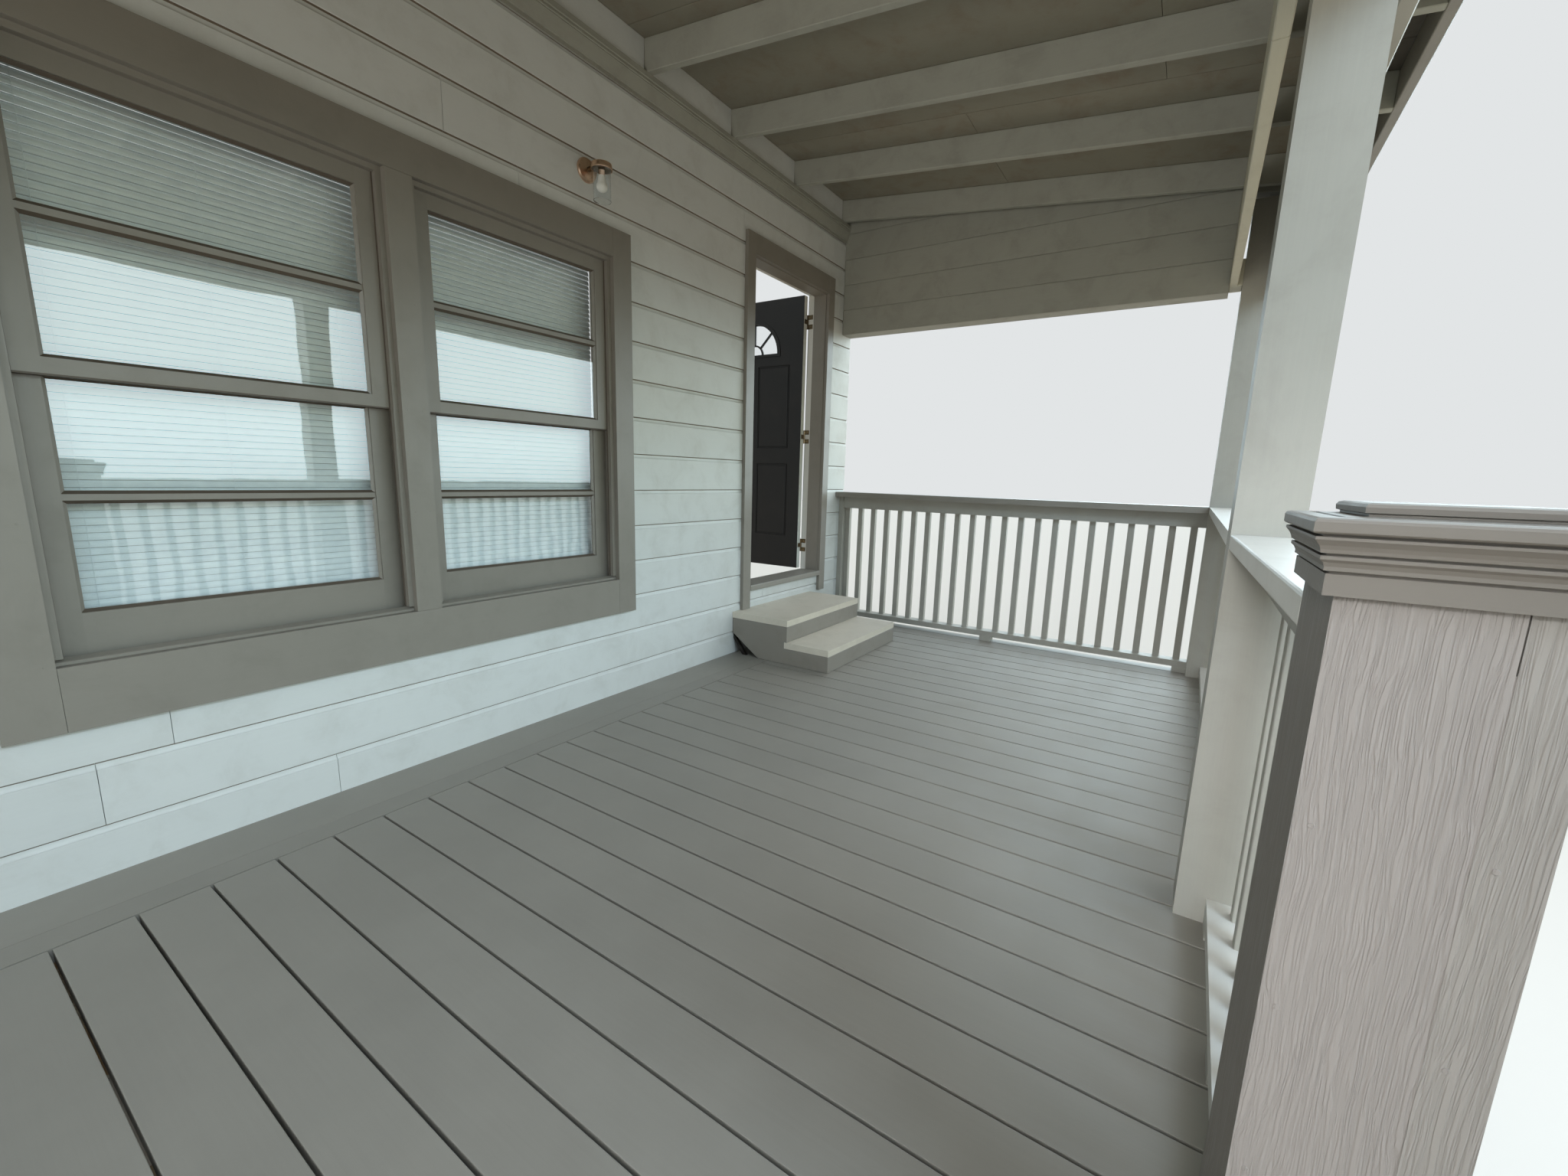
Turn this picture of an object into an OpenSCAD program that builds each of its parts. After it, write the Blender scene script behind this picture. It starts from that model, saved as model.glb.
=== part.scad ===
// Covered front porch of a timber cottage, with the house wall that carries it.
// +Z is up, +Y points into the house, -Y to the street, +X to the door end.
// The origin is at ground level, under the middle of the house wall.

/* [Porch] */
// Centre to centre of the roof posts
bay_w = 2594; // [2500:1:2900]
// Siding face to the centre line of the roof posts
depth = 2575; // [2400:1:2800]
// Deck surface above the ground
deck_h = 600; // [520:10:760]
// Thickness of the deck boards
board_t = 38; // [25:1:45]
// Deck beyond the outer faces of the posts
deck_lip = 55; // [20:1:80]
// Width of the wide border board beside the wall
border_w = 184; // [140:1:220]
// Width of the narrow border board
border_narrow_w = 89; // [60:1:120]
// Gap between boards
board_gap = 6; // [4:1:10]

/* [Wall] */
// Thickness of the house wall
wall_t = 150; // [120:1:200]
// Top of the wall above the deck
wall_top = 3400; // [3350:1:3600]
// Thickness of the footing wall
footing_t = 200; // [180:1:260]
// Top of the footing wall below the deck
footing_drop = 150; // [110:10:160]

/* [Windows] */
// Width of each window opening
win_w = 900; // [700:1:930]
// Height of each window opening
win_h = 1525; // [1300:1:1600]
// Opening sill above the deck
win_sill = 610; // [560:1:700]
// Post between the two windows
mullion_w = 92; // [80:1:140]
// Middle of the pair, from the middle post
win_x = -729; // [-800:1:-700]
// Side casing width
casing_w = 110; // [80:1:125]
// Head casing width
casing_head = 125; // [90:1:150]
// Sill casing width
casing_sill = 175; // [100:1:200]
// Casing thickness
casing_t = 24; // [18:1:35]
// Frame liner thickness
liner_t = 20; // [15:1:30]
// Outer stop, in from the liner
stop_w = 18; // [12:1:28]
// Outer stop depth
stop_d = 24; // [15:1:30]
// Sash stile width
stile_w = 54; // [45:1:70]
// Sash bottom rail
sash_bottom = 105; // [70:1:120]
// Sash meeting rail
sash_meet = 40; // [30:1:55]
// Sash thickness
sash_t = 34; // [28:1:38]
// Glass thickness
glass_t = 4; // [3:1:6]
// Blind thickness
blind_t = 20; // [16:1:25]

/* [Door] */
// Leaf width
leaf_w = 914; // [760:1:920]
// Leaf height
leaf_h = 2032; // [1950:1:2060]
// Leaf thickness
leaf_t = 44; // [35:1:50]
// Running gap at the sides and head
leaf_gap = 5; // [5:1:6]
// Running gap over the threshold
leaf_lift = 8; // [6:1:12]
// Middle of the doorway, from the far end post
door_in = 788; // [780:1:900]
// Threshold top above the deck
door_step_h = 430; // [400:1:460]
// Threshold thickness
threshold_t = 35; // [25:1:45]
// Threshold nose beyond the siding
threshold_nose = 30; // [15:1:40]
// Jamb thickness
jamb_t = 19; // [16:1:24]
// Door stop, in from the jamb
door_stop = 12; // [10:1:16]
// Jamb edge left showing beside the casing
reveal = 8; // [5:1:10]
// Door side casing width
door_casing_w = 80; // [75:1:105]
// Door head casing width
door_head_w = 118; // [90:1:125]
// Radius of the half round light
fan_r = 235; // [180:1:250]
// Leaf left above the half round light
fan_top = 157; // [120:1:180]
// Knob height above the leaf's foot
knob_h = 930; // [880:1:980]
// Knob radius
knob_r = 27; // [22:1:30]
// Hinge knuckle radius
knuckle_r = 6.5; // [5.5:0.1:7]
// Hinge height
hinge_h = 100; // [75:1:110]

/* [Posts and railings] */
// Post size
post_w = 140; // [120:1:150]
// Boxed newel size
newel_w = 160; // [140:1:175]
// Newel body height
newel_h = 1062; // [1045:1:1100]
// Newel centre line, outward from the post line
newel_out = 34; // [10:1:40]
// Boxed newel beside the mid bay, from the middle post
newel_x = -1166; // [-1300:1:-1000]
// Newel cap height
cap_h = 79; // [70:1:105]
// Top of the rail above the deck
rail_h = 1040; // [950:1:1043]
// Lumber thickness
lumber_t = 38; // [32:1:40]
// Edge of narrow lumber
lumber_w = 89; // [75:1:95]
// Picket side
picket = 38; // [30:1:40]
// Picket spacing, close to
picket_pitch = 116; // [95:1:130]
// Gap under the bottom rail
rail_gap = 35; // [20:1:60]

/* [Roof] */
// Rafter seat above the deck
seat_h = 3000; // [2960:1:3050]
// Fall for each unit of run
slope = 0.108; // [0.09:0.001:0.14]
// Rafter depth
rafter_d = 140; // [130:1:150]
// Rafter spacing
rafter_pitch = 660; // [610:1:680]
// Wall ledger height
ledger_h = 89; // [75:1:110]
// Bed moulding height
moulding_h = 28; // [20:1:36]
// Gap between the beam boards and the posts
beam_gap = 22; // [12:1:30]
// Underside of the inner beam board above the deck
beam_in_z = 2265; // [2240:1:2310]
// Underside of the outer beam board above the deck
beam_out_z = 2220; // [2200:1:2300]
// Underside of the end panels above the deck
panel_z = 2235; // [2200:1:2260]
// Eave beyond the outer beam board
eave = 205; // [150:1:240]
// Roof boards thickness
sheath_t = 18; // [12:1:22]
// Roof covering thickness
cover_t = 10; // [6:1:14]
// Gable overhang
gable = 150; // [80:1:180]
// Rake board height
rake_h = 150; // [120:1:170]

/* [Steps] */
// Front tread depth
tread_d = 280; // [250:1:300]
// Number of front risers
risers = 4; // [4:1:5]
// Tread nosing
nosing = 25; // [15:1:30]
// Riser board thickness
riser_t = 18; // [12:1:25]
// Door step rise
entry_rise = 138; // [125:1:160]
// Upper door tread depth from the siding
entry_top_d = 422; // [400:1:500]
// Lower door tread depth
entry_low_d = 295; // [250:1:310]
// Left edge of the door steps, from the middle of the doorway
entry_left = 616; // [560:1:650]
// Width of the door steps
entry_w = 970; // [900:1:1000]

/* [Lamp] */
// Lamp axis from the middle post
lamp_x = 92; // [60:1:200]
// Lamp cap top above the deck
lamp_z = 2475; // [2450:1:2520]
// Lamp axis from the siding
lamp_out = 100; // [85:1:120]
// Lamp glass radius
lamp_r = 38; // [30:1:42]
// Lamp glass height
lamp_h = 125; // [100:1:140]

/* [Hidden] */

taupe = "#7f7b70";
taupe_dark = "#5f5a4e";
white_paint = "#d9dde0";
bare_wood = "#a08a68";
masonry = "#a5a29b";
copper = "#b98a5f";

siding_y = -wall_t / 2;
room_y = wall_t / 2;
post_y = siding_y - depth;
post_half = post_w / 2;
end_x = bay_w + post_half;
deck_front = post_y - post_half - deck_lip;
deck_end = end_x + deck_lip / 2;
wall_top_z = deck_h + wall_top;
footing_h = deck_h - footing_drop;

// Window pair
pair_half = win_w + mullion_w / 2;
win_lo = win_x - pair_half;
win_hi = win_x + pair_half;
win_z0 = deck_h + win_sill;
win_z1 = win_z0 + win_h;
rough_lo = win_lo - liner_t;
rough_hi = win_hi + liner_t;
sash_y0 = siding_y + stop_d;
sash_play = 2;
meet_z = win_z0 + win_h / 2;

// Doorway: the jamb faces stand a running gap away from the leaf
door_x = bay_w - door_in;
jamb_half = leaf_w / 2 + leaf_gap;
door_lo = door_x - jamb_half;
door_hi = door_x + jamb_half;
sill_z = deck_h + door_step_h;
leaf_z0 = sill_z + leaf_lift;
leaf_z1 = leaf_z0 + leaf_h;
head_z = leaf_z1 + leaf_gap;
stop_y = room_y - leaf_t - leaf_gap;
pin_x = door_hi - leaf_gap / 2;
pin_y = room_y + knuckle_r;
hinge_in = 180;
hinge_zs = [leaf_z0 + hinge_in, leaf_z0 + leaf_h / 2, leaf_z1 - hinge_in];
plate_t = 1.5;
plate_w = 36;
knuckle_play = 0.5;

// Roof planes, as heights over a place along Y
seat_z = deck_h + seat_h;
ledger_y = siding_y - lumber_t;
rise = rafter_d / cos(atan(slope));
beam_in_y = post_y + post_half + beam_gap;
beam_out_y = post_y - post_half - beam_gap;
beam_in_back = beam_in_y + lumber_t;
beam_out_front = beam_out_y - lumber_t;
eave_y = beam_out_front - eave;
fascia_y = eave_y - lumber_t;
drip = 22;
function under(y) = seat_z + slope * (y - ledger_y);
function over(y) = under(y) + rise;

// Hair's breadth left under sloping seats, so that rounded figures never make them overlap
seat_gap = 0.05;
function roof_foot(y) = over(y) + seat_gap;
function beam_top(y) = under(y) - seat_gap;

// Rafters step back from the door end, and one more closes the near end
panel_in = bay_w - post_half;
rafter_edge = 72;
rafter_first = panel_in - rafter_edge - lumber_t;
rafter_count = floor((rafter_first + panel_in - rafter_edge - lumber_t) / rafter_pitch) + 1;
rafter_xs = concat([-panel_in + rafter_edge],
    [for (k = [rafter_count - 1:-1:0]) rafter_first - k * rafter_pitch]);

// Newels either side of the front steps
newel_y = post_y - newel_out;
newel_half = newel_w / 2;
twin_x = -panel_in + newel_half;
stair_lo = twin_x + newel_half;
stair_hi = newel_x - newel_half;
stair_side = 60;
front_rise = deck_h / risers;

module slab(x0, x1, y0, y1, z0, z1) {
    translate([x0, y0, z0]) cube([x1 - x0, y1 - y0, z1 - z0]);
}

// A profile drawn in Y and Z, run along X
module run_x(x0, x1, points) {
    translate([x0, 0, 0]) rotate([90, 0, 90]) linear_extrude(x1 - x0) polygon(points);
}

// House wall, split beside and over its openings
module footing_wall() {
    color(masonry) slab(-end_x, end_x, -footing_t / 2, footing_t / 2, 0, footing_h);
}
module wall_left() {
    color(white_paint) slab(-end_x, rough_lo, siding_y, room_y, footing_h, wall_top_z);
}
module wall_at_windows() {
    color(white_paint) {
        slab(rough_lo, rough_hi, siding_y, room_y, footing_h, win_z0 - liner_t);
        slab(rough_lo, rough_hi, siding_y, room_y, win_z1 + liner_t, wall_top_z);
    }
}
module wall_middle() {
    color(white_paint) slab(rough_hi, door_lo - jamb_t, siding_y, room_y, footing_h, wall_top_z);
}
module wall_at_door() {
    color(white_paint) {
        slab(door_lo - jamb_t, door_hi + jamb_t, siding_y, room_y, footing_h, sill_z - threshold_t);
        slab(door_lo - jamb_t, door_hi + jamb_t, siding_y, room_y, head_z + jamb_t, wall_top_z);
    }
}
module wall_right() {
    color(white_paint) slab(door_hi + jamb_t, end_x, siding_y, room_y, footing_h, wall_top_z);
}

// Windows: flat casing, a liner with outer stops, two sashes each
module each_window() {
    for (side = [-1, 1]) translate([win_x + side * (win_w + mullion_w) / 2, 0, 0]) children();
}
module window_casing() {
    color(taupe_dark) difference() {
        slab(win_lo - casing_w, win_hi + casing_w, siding_y - casing_t, siding_y,
            win_z0 - casing_sill, win_z1 + casing_head);
        each_window() slab(-win_w / 2, win_w / 2, siding_y - casing_t - 1, siding_y + 1, win_z0, win_z1);
    }
}
module window_frame() {
    color(taupe_dark) difference() {
        slab(rough_lo, rough_hi, siding_y, room_y, win_z0 - liner_t, win_z1 + liner_t);
        each_window() {
            slab(-win_w / 2, win_w / 2, sash_y0, room_y + 1, win_z0, win_z1);
            slab(-win_w / 2 + stop_w, win_w / 2 - stop_w, siding_y - 1, room_y,
                win_z0 + stop_w, win_z1 - stop_w);
        }
    }
}
module sash(y0, z0, z1, low, high) {
    difference() {
        slab(-win_w / 2, win_w / 2, y0, y0 + sash_t, z0, z1);
        slab(-win_w / 2 + stop_w + stile_w, win_w / 2 - stop_w - stile_w, y0 - 1, y0 + sash_t + 1,
            z0 + low, z1 - high);
    }
}
module pane(y0, z0, z1, low, high) {
    slab(-win_w / 2 + stop_w + stile_w, win_w / 2 - stop_w - stile_w,
        y0 + (sash_t - glass_t) / 2, y0 + (sash_t + glass_t) / 2, z0 + low, z1 - high);
}
sash_in_y = sash_y0 + sash_t + sash_play;
sash_head = stop_w + stile_w;
module window_sashes() {
    color(taupe) each_window() {
        sash(sash_y0, meet_z - sash_meet / 2, win_z1, sash_meet, sash_head);
        sash(sash_in_y, win_z0, meet_z + sash_meet / 2, sash_bottom + stop_w, sash_meet);
    }
}
module window_glass() {
    color("#a9c3cf") each_window() {
        pane(sash_y0, meet_z - sash_meet / 2, win_z1, sash_meet, sash_head);
        pane(sash_in_y, win_z0, meet_z + sash_meet / 2, sash_bottom + stop_w, sash_meet);
    }
}
blind_side = 12;
blind_y = room_y - blind_t - 2;
module window_blinds() {
    color("white") each_window()
        slab(-win_w / 2 + blind_side, win_w / 2 - blind_side, blind_y, blind_y + blind_t,
            win_z0 + blind_side, win_z1);
}
trim_t = 15;
trim_w = 70;
module inside_trim() {
    color(white_paint) {
        difference() {
            slab(rough_lo - trim_w, rough_hi + trim_w, room_y, room_y + trim_t,
                win_z0 - liner_t - trim_w, win_z1 + liner_t + trim_w);
            slab(rough_lo + liner_t, rough_hi - liner_t, room_y - 1, room_y + trim_t + 1, win_z0, win_z1);
        }
        difference() {
            slab(door_lo - jamb_t - trim_w, door_hi + jamb_t + trim_w, room_y, room_y + trim_t,
                sill_z, head_z + jamb_t + trim_w);
            slab(door_lo - reveal, door_hi + reveal, room_y - 1, room_y + trim_t + 1,
                sill_z - 1, head_z + reveal);
        }
    }
}

// Doorway
module door_frame() {
    color(taupe_dark) difference() {
        slab(door_lo - jamb_t, door_hi + jamb_t, siding_y, room_y, sill_z, head_z + jamb_t);
        slab(door_lo, door_hi, stop_y, room_y + 1, sill_z - 1, head_z);
        slab(door_lo + door_stop, door_hi - door_stop, siding_y - 1, stop_y + 1,
            sill_z - 1, head_z - door_stop);
    }
}
casing_in = jamb_half - door_stop + reveal;
module door_casing() {
    color(taupe_dark) difference() {
        slab(door_x - casing_in - door_casing_w, door_x + casing_in + door_casing_w,
            siding_y - casing_t, siding_y, entry_top_z,
            head_z - door_stop + reveal + door_head_w);
        slab(door_x - casing_in, door_x + casing_in, siding_y - casing_t - 1, siding_y + 1,
            entry_top_z - 1, head_z - door_stop + reveal);
    }
}
module threshold() {
    color(taupe) {
        slab(door_lo - jamb_t, door_hi + jamb_t, siding_y, room_y, sill_z - threshold_t, sill_z);
        slab(door_x - casing_in, door_x + casing_in, siding_y - threshold_nose, siding_y,
            sill_z - threshold_t, sill_z);
    }
}

// The leaf is drawn shut and stands open at rest
open_angle = 90;
module swung() {
    translate([pin_x, pin_y, 0]) rotate([0, 0, -open_angle]) translate([-pin_x, -pin_y, 0]) children();
}
leaf_lo = door_lo + leaf_gap;
leaf_hi = door_hi - leaf_gap;
leaf_y0 = room_y - leaf_t;
panel_side = 115;
panel_mid = 100;
panel_w = (leaf_w - 2 * panel_side - panel_mid) / 2;
foot_rail = 250;
low_panel_h = 560;
lock_rail = 120;
high_panel_z = foot_rail + low_panel_h + lock_rail;
fan_rail = 90;
groove_w = 14;
groove_d = 6;
fan_z = leaf_h - fan_top - fan_r;
module panel_groove(w, h) {
    difference() {
        slab(0, w, 0, groove_d, 0, h);
        slab(groove_w, w - groove_w, -1, groove_d + 1, groove_w, h - groove_w);
    }
}
module each_panel() {
    for (side = [0, 1]) translate([leaf_lo + panel_side + side * (panel_w + panel_mid), 0, leaf_z0]) {
        translate([0, 0, foot_rail]) panel_groove(panel_w, low_panel_h);
        translate([0, 0, high_panel_z]) panel_groove(panel_w, fan_z - fan_rail - high_panel_z);
    }
}
module half_disc(r, y0, t, base) {
    intersection() {
        translate([door_x, y0 + t, leaf_z0 + fan_z]) rotate([90, 0, 0]) cylinder(r = r, h = t, $fn = 64);
        slab(door_x - r, door_x + r, y0 - 1, y0 + t + 1, leaf_z0 + fan_z + base, leaf_z0 + fan_z + r);
    }
}
module door_leaf() {
    color(taupe_dark) swung() difference() {
        slab(leaf_lo, leaf_hi, leaf_y0, room_y, leaf_z0, leaf_z1);
        translate([0, leaf_y0, 0]) each_panel();
        translate([0, room_y - groove_d, 0]) each_panel();
        half_disc(fan_r, leaf_y0 - 1, leaf_t + 2, 0);
    }
}
fan_t = 12;
fan_play = 0.3;
module fan_light() {
    color("#a9c3cf") swung()
        half_disc(fan_r - fan_play, leaf_y0 + (leaf_t - fan_t) / 2, fan_t, 0);
}
rose_t = 8;
neck_r = 10;
neck_l = 22;
knob_in = 70;
module knob() {
    rotate_extrude($fn = 48) polygon(concat([[0, 0], [knob_r, 0], [knob_r, rose_t], [neck_r, rose_t],
        [neck_r, rose_t + neck_l]],
        [for (a = [-55:11:88]) [knob_r * cos(a), rose_t + neck_l + knob_r * (0.82 + sin(a)) * 0.75]],
        [[0, rose_t + neck_l + knob_r * 1.365]]));
}
module door_knobs() {
    color(copper) swung() {
        translate([leaf_lo + knob_in, leaf_y0, leaf_z0 + knob_h]) rotate([90, 0, 0]) knob();
        translate([leaf_lo + knob_in, room_y, leaf_z0 + knob_h]) rotate([-90, 0, 0]) knob();
    }
}
module knuckle(z, part, parts) {
    h = hinge_h / parts;
    translate([pin_x, pin_y, z - hinge_h / 2 + part * h + knuckle_play / 2])
        cylinder(r = knuckle_r, h = h - knuckle_play, $fn = 32);
}
module hinge_leaves() {
    color("#6b5a45") swung() for (z = hinge_zs) {
        knuckle(z, 1, 3);
        slab(leaf_hi, leaf_hi + plate_t, room_y - plate_w, pin_y, z - hinge_h / 6 + knuckle_play / 2,
            z + hinge_h / 6 - knuckle_play / 2);
    }
}
module hinge_jambs() {
    color("#6b5a45") for (z = hinge_zs) for (part = [0, 2]) {
        knuckle(z, part, 3);
        slab(door_hi - plate_t, door_hi, room_y - plate_w, pin_y,
            z - hinge_h / 2 + part * hinge_h / 3 + knuckle_play / 2,
            z - hinge_h / 2 + (part + 1) * hinge_h / 3 - knuckle_play / 2);
    }
}

// Wall lamp: round plate, arm and cap, open glass sleeve and bulb
plate_r = 50;
plate_d = 18;
arm_r = 11;
lamp_cap_h = 40;
lamp_cap_r = lamp_r + 8;
lamp_top = deck_h + lamp_z;
lamp_wall = 2;
lamp_rim = 10;
lamp_rim_in = 8;
lamp_y = siding_y - lamp_out;
module lamp_fitting() {
    color(copper) {
        translate([lamp_x, siding_y, lamp_top - lamp_cap_h / 2]) rotate([90, 0, 0]) {
            cylinder(r = plate_r, h = plate_d, $fn = 48);
            cylinder(r = arm_r, h = lamp_out, $fn = 32);
        }
        translate([lamp_x, lamp_y, lamp_top - lamp_cap_h]) rotate_extrude($fn = 48)
            polygon([[0, 0], [lamp_cap_r, 0], [lamp_cap_r, lamp_cap_h - lamp_rim],
                [lamp_cap_r - lamp_rim_in, lamp_cap_h], [0, lamp_cap_h]]);
    }
}
module lamp_glass() {
    color("#c9d6da") translate([lamp_x, lamp_y, lamp_top - lamp_cap_h - lamp_h]) rotate_extrude($fn = 48)
        polygon([[lamp_r - lamp_wall, 0], [lamp_r, 0], [lamp_r, lamp_h], [lamp_r - lamp_wall, lamp_h]]);
}
bulb_r = 24;
bulb_l = 92;
bulb_neck_r = 13;
bulb_neck = 22;
module lamp_bulb() {
    color("white") translate([lamp_x, lamp_y, lamp_top - lamp_cap_h - bulb_l]) rotate_extrude($fn = 36)
        polygon(concat([[0, 0]],
            [for (a = [-75:15:45]) [bulb_r * cos(a), bulb_r + bulb_r * sin(a)]],
            [[bulb_neck_r, bulb_l - bulb_neck], [bulb_neck_r, bulb_l], [0, bulb_l]]));
}

// Deck: boards run from the border to the front edge over joists and girders
board_z = deck_h - board_t;
border_y = siding_y - border_w;
narrow_y = border_y - board_gap;
boards_y = narrow_y - border_narrow_w - board_gap;
module deck_floor() {
    color(taupe) {
        slab(-deck_end, deck_end, border_y, siding_y, board_z, deck_h);
        slab(-deck_end, deck_end, narrow_y - border_narrow_w, narrow_y, board_z, deck_h);
        slab(-deck_end, deck_end, deck_front, boards_y, board_z, deck_h);
    }
}
joist_h = 140;
rim_h = 184;
joist_z = board_z - joist_h;
joist_count = 6;
rim_out = lumber_t;
joist_end = deck_end - rim_out;
joist_y0 = -footing_t / 2 - lumber_t;
joist_y1 = deck_front + rim_out;
module deck_joists() {
    color(bare_wood) for (k = [0:joist_count - 1]) {
        y = joist_y0 + (joist_y1 - joist_y0) * k / (joist_count - 1);
        slab(-joist_end, joist_end, y, y + lumber_t, joist_z, board_z);
    }
}
module rim_boards() {
    color(taupe) difference() {
        slab(-deck_end, deck_end, deck_front, -footing_t / 2, board_z - rim_h, board_z);
        slab(-joist_end, joist_end, joist_y1, -footing_t / 2 + 1, board_z - rim_h - 1, board_z + 1);
    }
}
girder_w = 76;
girder_z = joist_z - joist_h;
pier_w = 190;
girder_xs = [-bay_w, 0, bay_w];
module deck_girders() {
    color(bare_wood) for (x = girder_xs)
        slab(x - girder_w / 2, x + girder_w / 2, deck_front + rim_out, -footing_t / 2, girder_z, joist_z);
}
pier_ys = [post_y, post_y + depth / 2];
module deck_piers() {
    color(masonry) for (x = girder_xs) for (y = pier_ys)
        slab(x - pier_w / 2, x + pier_w / 2, y - pier_w / 2, y + pier_w / 2, 0, girder_z);
}

// Roof posts and boxed newels
post_drop = 16;
post_top = under(post_y - post_half) - post_drop;
module roof_posts() {
    color(taupe) for (x = [-bay_w, 0, bay_w])
        slab(x - post_half, x + post_half, post_y - post_half, post_y + post_half, deck_h, post_top);
}
module newel_posts() {
    color(taupe) for (x = [twin_x, newel_x])
        slab(x - newel_half, x + newel_half, newel_y - newel_half, newel_y + newel_half,
            deck_h, deck_h + newel_h);
}
// Cap outline: how far each moulding stands out of the body, and its height as a share of the cap
cap_steps = [[0, 0], [10, 0], [10, 0.27], [13, 0.30], [13, 0.40], [17, 0.46], [17, 0.56],
    [20, 0.66], [23, 0.74], [24, 0.78], [24, 0.84], [21, 0.87], [0, 0.87]];
plate_in = 13;
plate_z = 0.87;
module cap_half() {
    polygon([for (p = cap_steps) [newel_half + p[0], p[1] * cap_h]]);
}
module cap_profile() {
    half = max([for (p = cap_steps) p[0]]) + newel_half;
    rotate([90, 0, 0]) linear_extrude(2 * half, center = true) union() {
        cap_half();
        mirror([1, 0]) cap_half();
        translate([-newel_half, 0]) square([newel_w, cap_h * plate_z]);
        translate([plate_in - newel_half, 0]) square([newel_w - 2 * plate_in, cap_h]);
    }
}
module newel_cap() {
    intersection() {
        cap_profile();
        rotate([0, 0, 90]) cap_profile();
    }
}
module newel_caps() {
    color(taupe) {
        translate([newel_x, newel_y, deck_h + newel_h]) newel_cap();
        difference() {
            translate([twin_x, newel_y, deck_h + newel_h]) newel_cap();
            slab(-end_x, -panel_in, newel_y - newel_w, newel_y + newel_w,
                deck_h, deck_h + newel_h + cap_h + 1);
        }
    }
}

// Railing under its cap: drawn along +X from 0 to its length, its street side towards -Y
cap_z = rail_h - lumber_t;
subrail_z = cap_z - lumber_w;
picket_out = 50;
picket_y = -picket / 2 - picket_out;
subrail_y = picket_y + picket / 2;
bottom_y = picket_y - picket / 2;
module railing(length) {
    pickets = round(length / picket_pitch);
    pitch = length / pickets;
    translate([0, subrail_y, subrail_z]) cube([length, lumber_t, lumber_w]);
    translate([0, bottom_y, rail_gap]) cube([length, lumber_w, lumber_t]);
    for (k = [0:pickets - 1]) translate([(k + 0.5) * pitch - picket / 2, bottom_y, rail_gap + lumber_t])
        cube([picket, picket, cap_z - rail_gap - lumber_t]);
    for (x = [0, length / 2, length]) translate([min(max(x - lumber_t, 0), length - 2 * lumber_t), bottom_y, 0])
        cube([2 * lumber_t, lumber_w, rail_gap]);
}
rail_run = depth - post_half;
module end_railing() {
    railing(rail_run);
    // Half post against the wall
    translate([rail_run - lumber_t, bottom_y, 0]) cube([lumber_t, lumber_w, cap_z]);
}
module rail_caps() {
    top = deck_h + rail_h;
    color(taupe) {
        for (x = [-bay_w, bay_w])
            slab(x - post_half, x + post_half, siding_y - rail_run, siding_y, top - lumber_t, top);
        slab(post_half, bay_w - post_half, post_y - post_half, post_y + post_half, top - lumber_t, top);
        translate([0, 0, top - lumber_t]) linear_extrude(lumber_t) polygon([
            [newel_x + newel_half, post_y - post_half], [-post_half, post_y - post_half],
            [-post_half, post_y + post_half], [newel_x + newel_half, newel_y + newel_half]]);
    }
}
module far_railing() {
    color(taupe) translate([bay_w, siding_y - rail_run, deck_h]) rotate([0, 0, 90]) end_railing();
}
module left_railing() {
    color(taupe) translate([-bay_w, siding_y - rail_run, deck_h]) rotate([0, 0, 90])
        mirror([0, 1, 0]) end_railing();
}
module front_railing() {
    color(taupe) translate([post_half, post_y, deck_h]) railing(bay_w - post_w);
}
module near_bay_railing() {
    color(taupe) translate([newel_x + newel_half, post_y, deck_h])
        railing(-post_half - newel_x - newel_half);
}

// Box steps at the door: sides with their back foot cut away
entry_x = door_x - entry_left;
entry_t = lumber_t;
entry_top_z = deck_h + 2 * entry_rise;
entry_low_z = deck_h + entry_rise;
entry_top_y = siding_y - entry_top_d;
entry_low_y = entry_top_y - entry_low_d;
entry_end = entry_x + entry_w;
foot_cut_y = 205;
foot_cut_z = 140;
module entry_treads() {
    color(taupe) {
        slab(entry_x, entry_end, entry_top_y, siding_y, entry_top_z - entry_t, entry_top_z);
        slab(entry_x, entry_end, entry_low_y, entry_top_y + riser_t, entry_low_z - entry_t, entry_low_z);
    }
}
module entry_side(x) {
    run_x(x, x + lumber_t, [[siding_y - foot_cut_y, deck_h], [entry_low_y + riser_t, deck_h],
        [entry_low_y + riser_t, entry_low_z - entry_t], [entry_top_y + riser_t, entry_low_z - entry_t],
        [entry_top_y + riser_t, entry_top_z - entry_t],
        [siding_y, entry_top_z - entry_t], [siding_y, deck_h + foot_cut_z]]);
}
module entry_box() {
    color(taupe) {
        entry_side(entry_x);
        entry_side(entry_x + entry_w / 2 - lumber_t / 2);
        entry_side(entry_end - lumber_t);
        slab(entry_x, entry_end, entry_low_y, entry_low_y + riser_t, deck_h, entry_low_z - entry_t);
        slab(entry_x, entry_end, entry_top_y, entry_top_y + riser_t, entry_low_z, entry_top_z - entry_t);
    }
}

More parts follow.
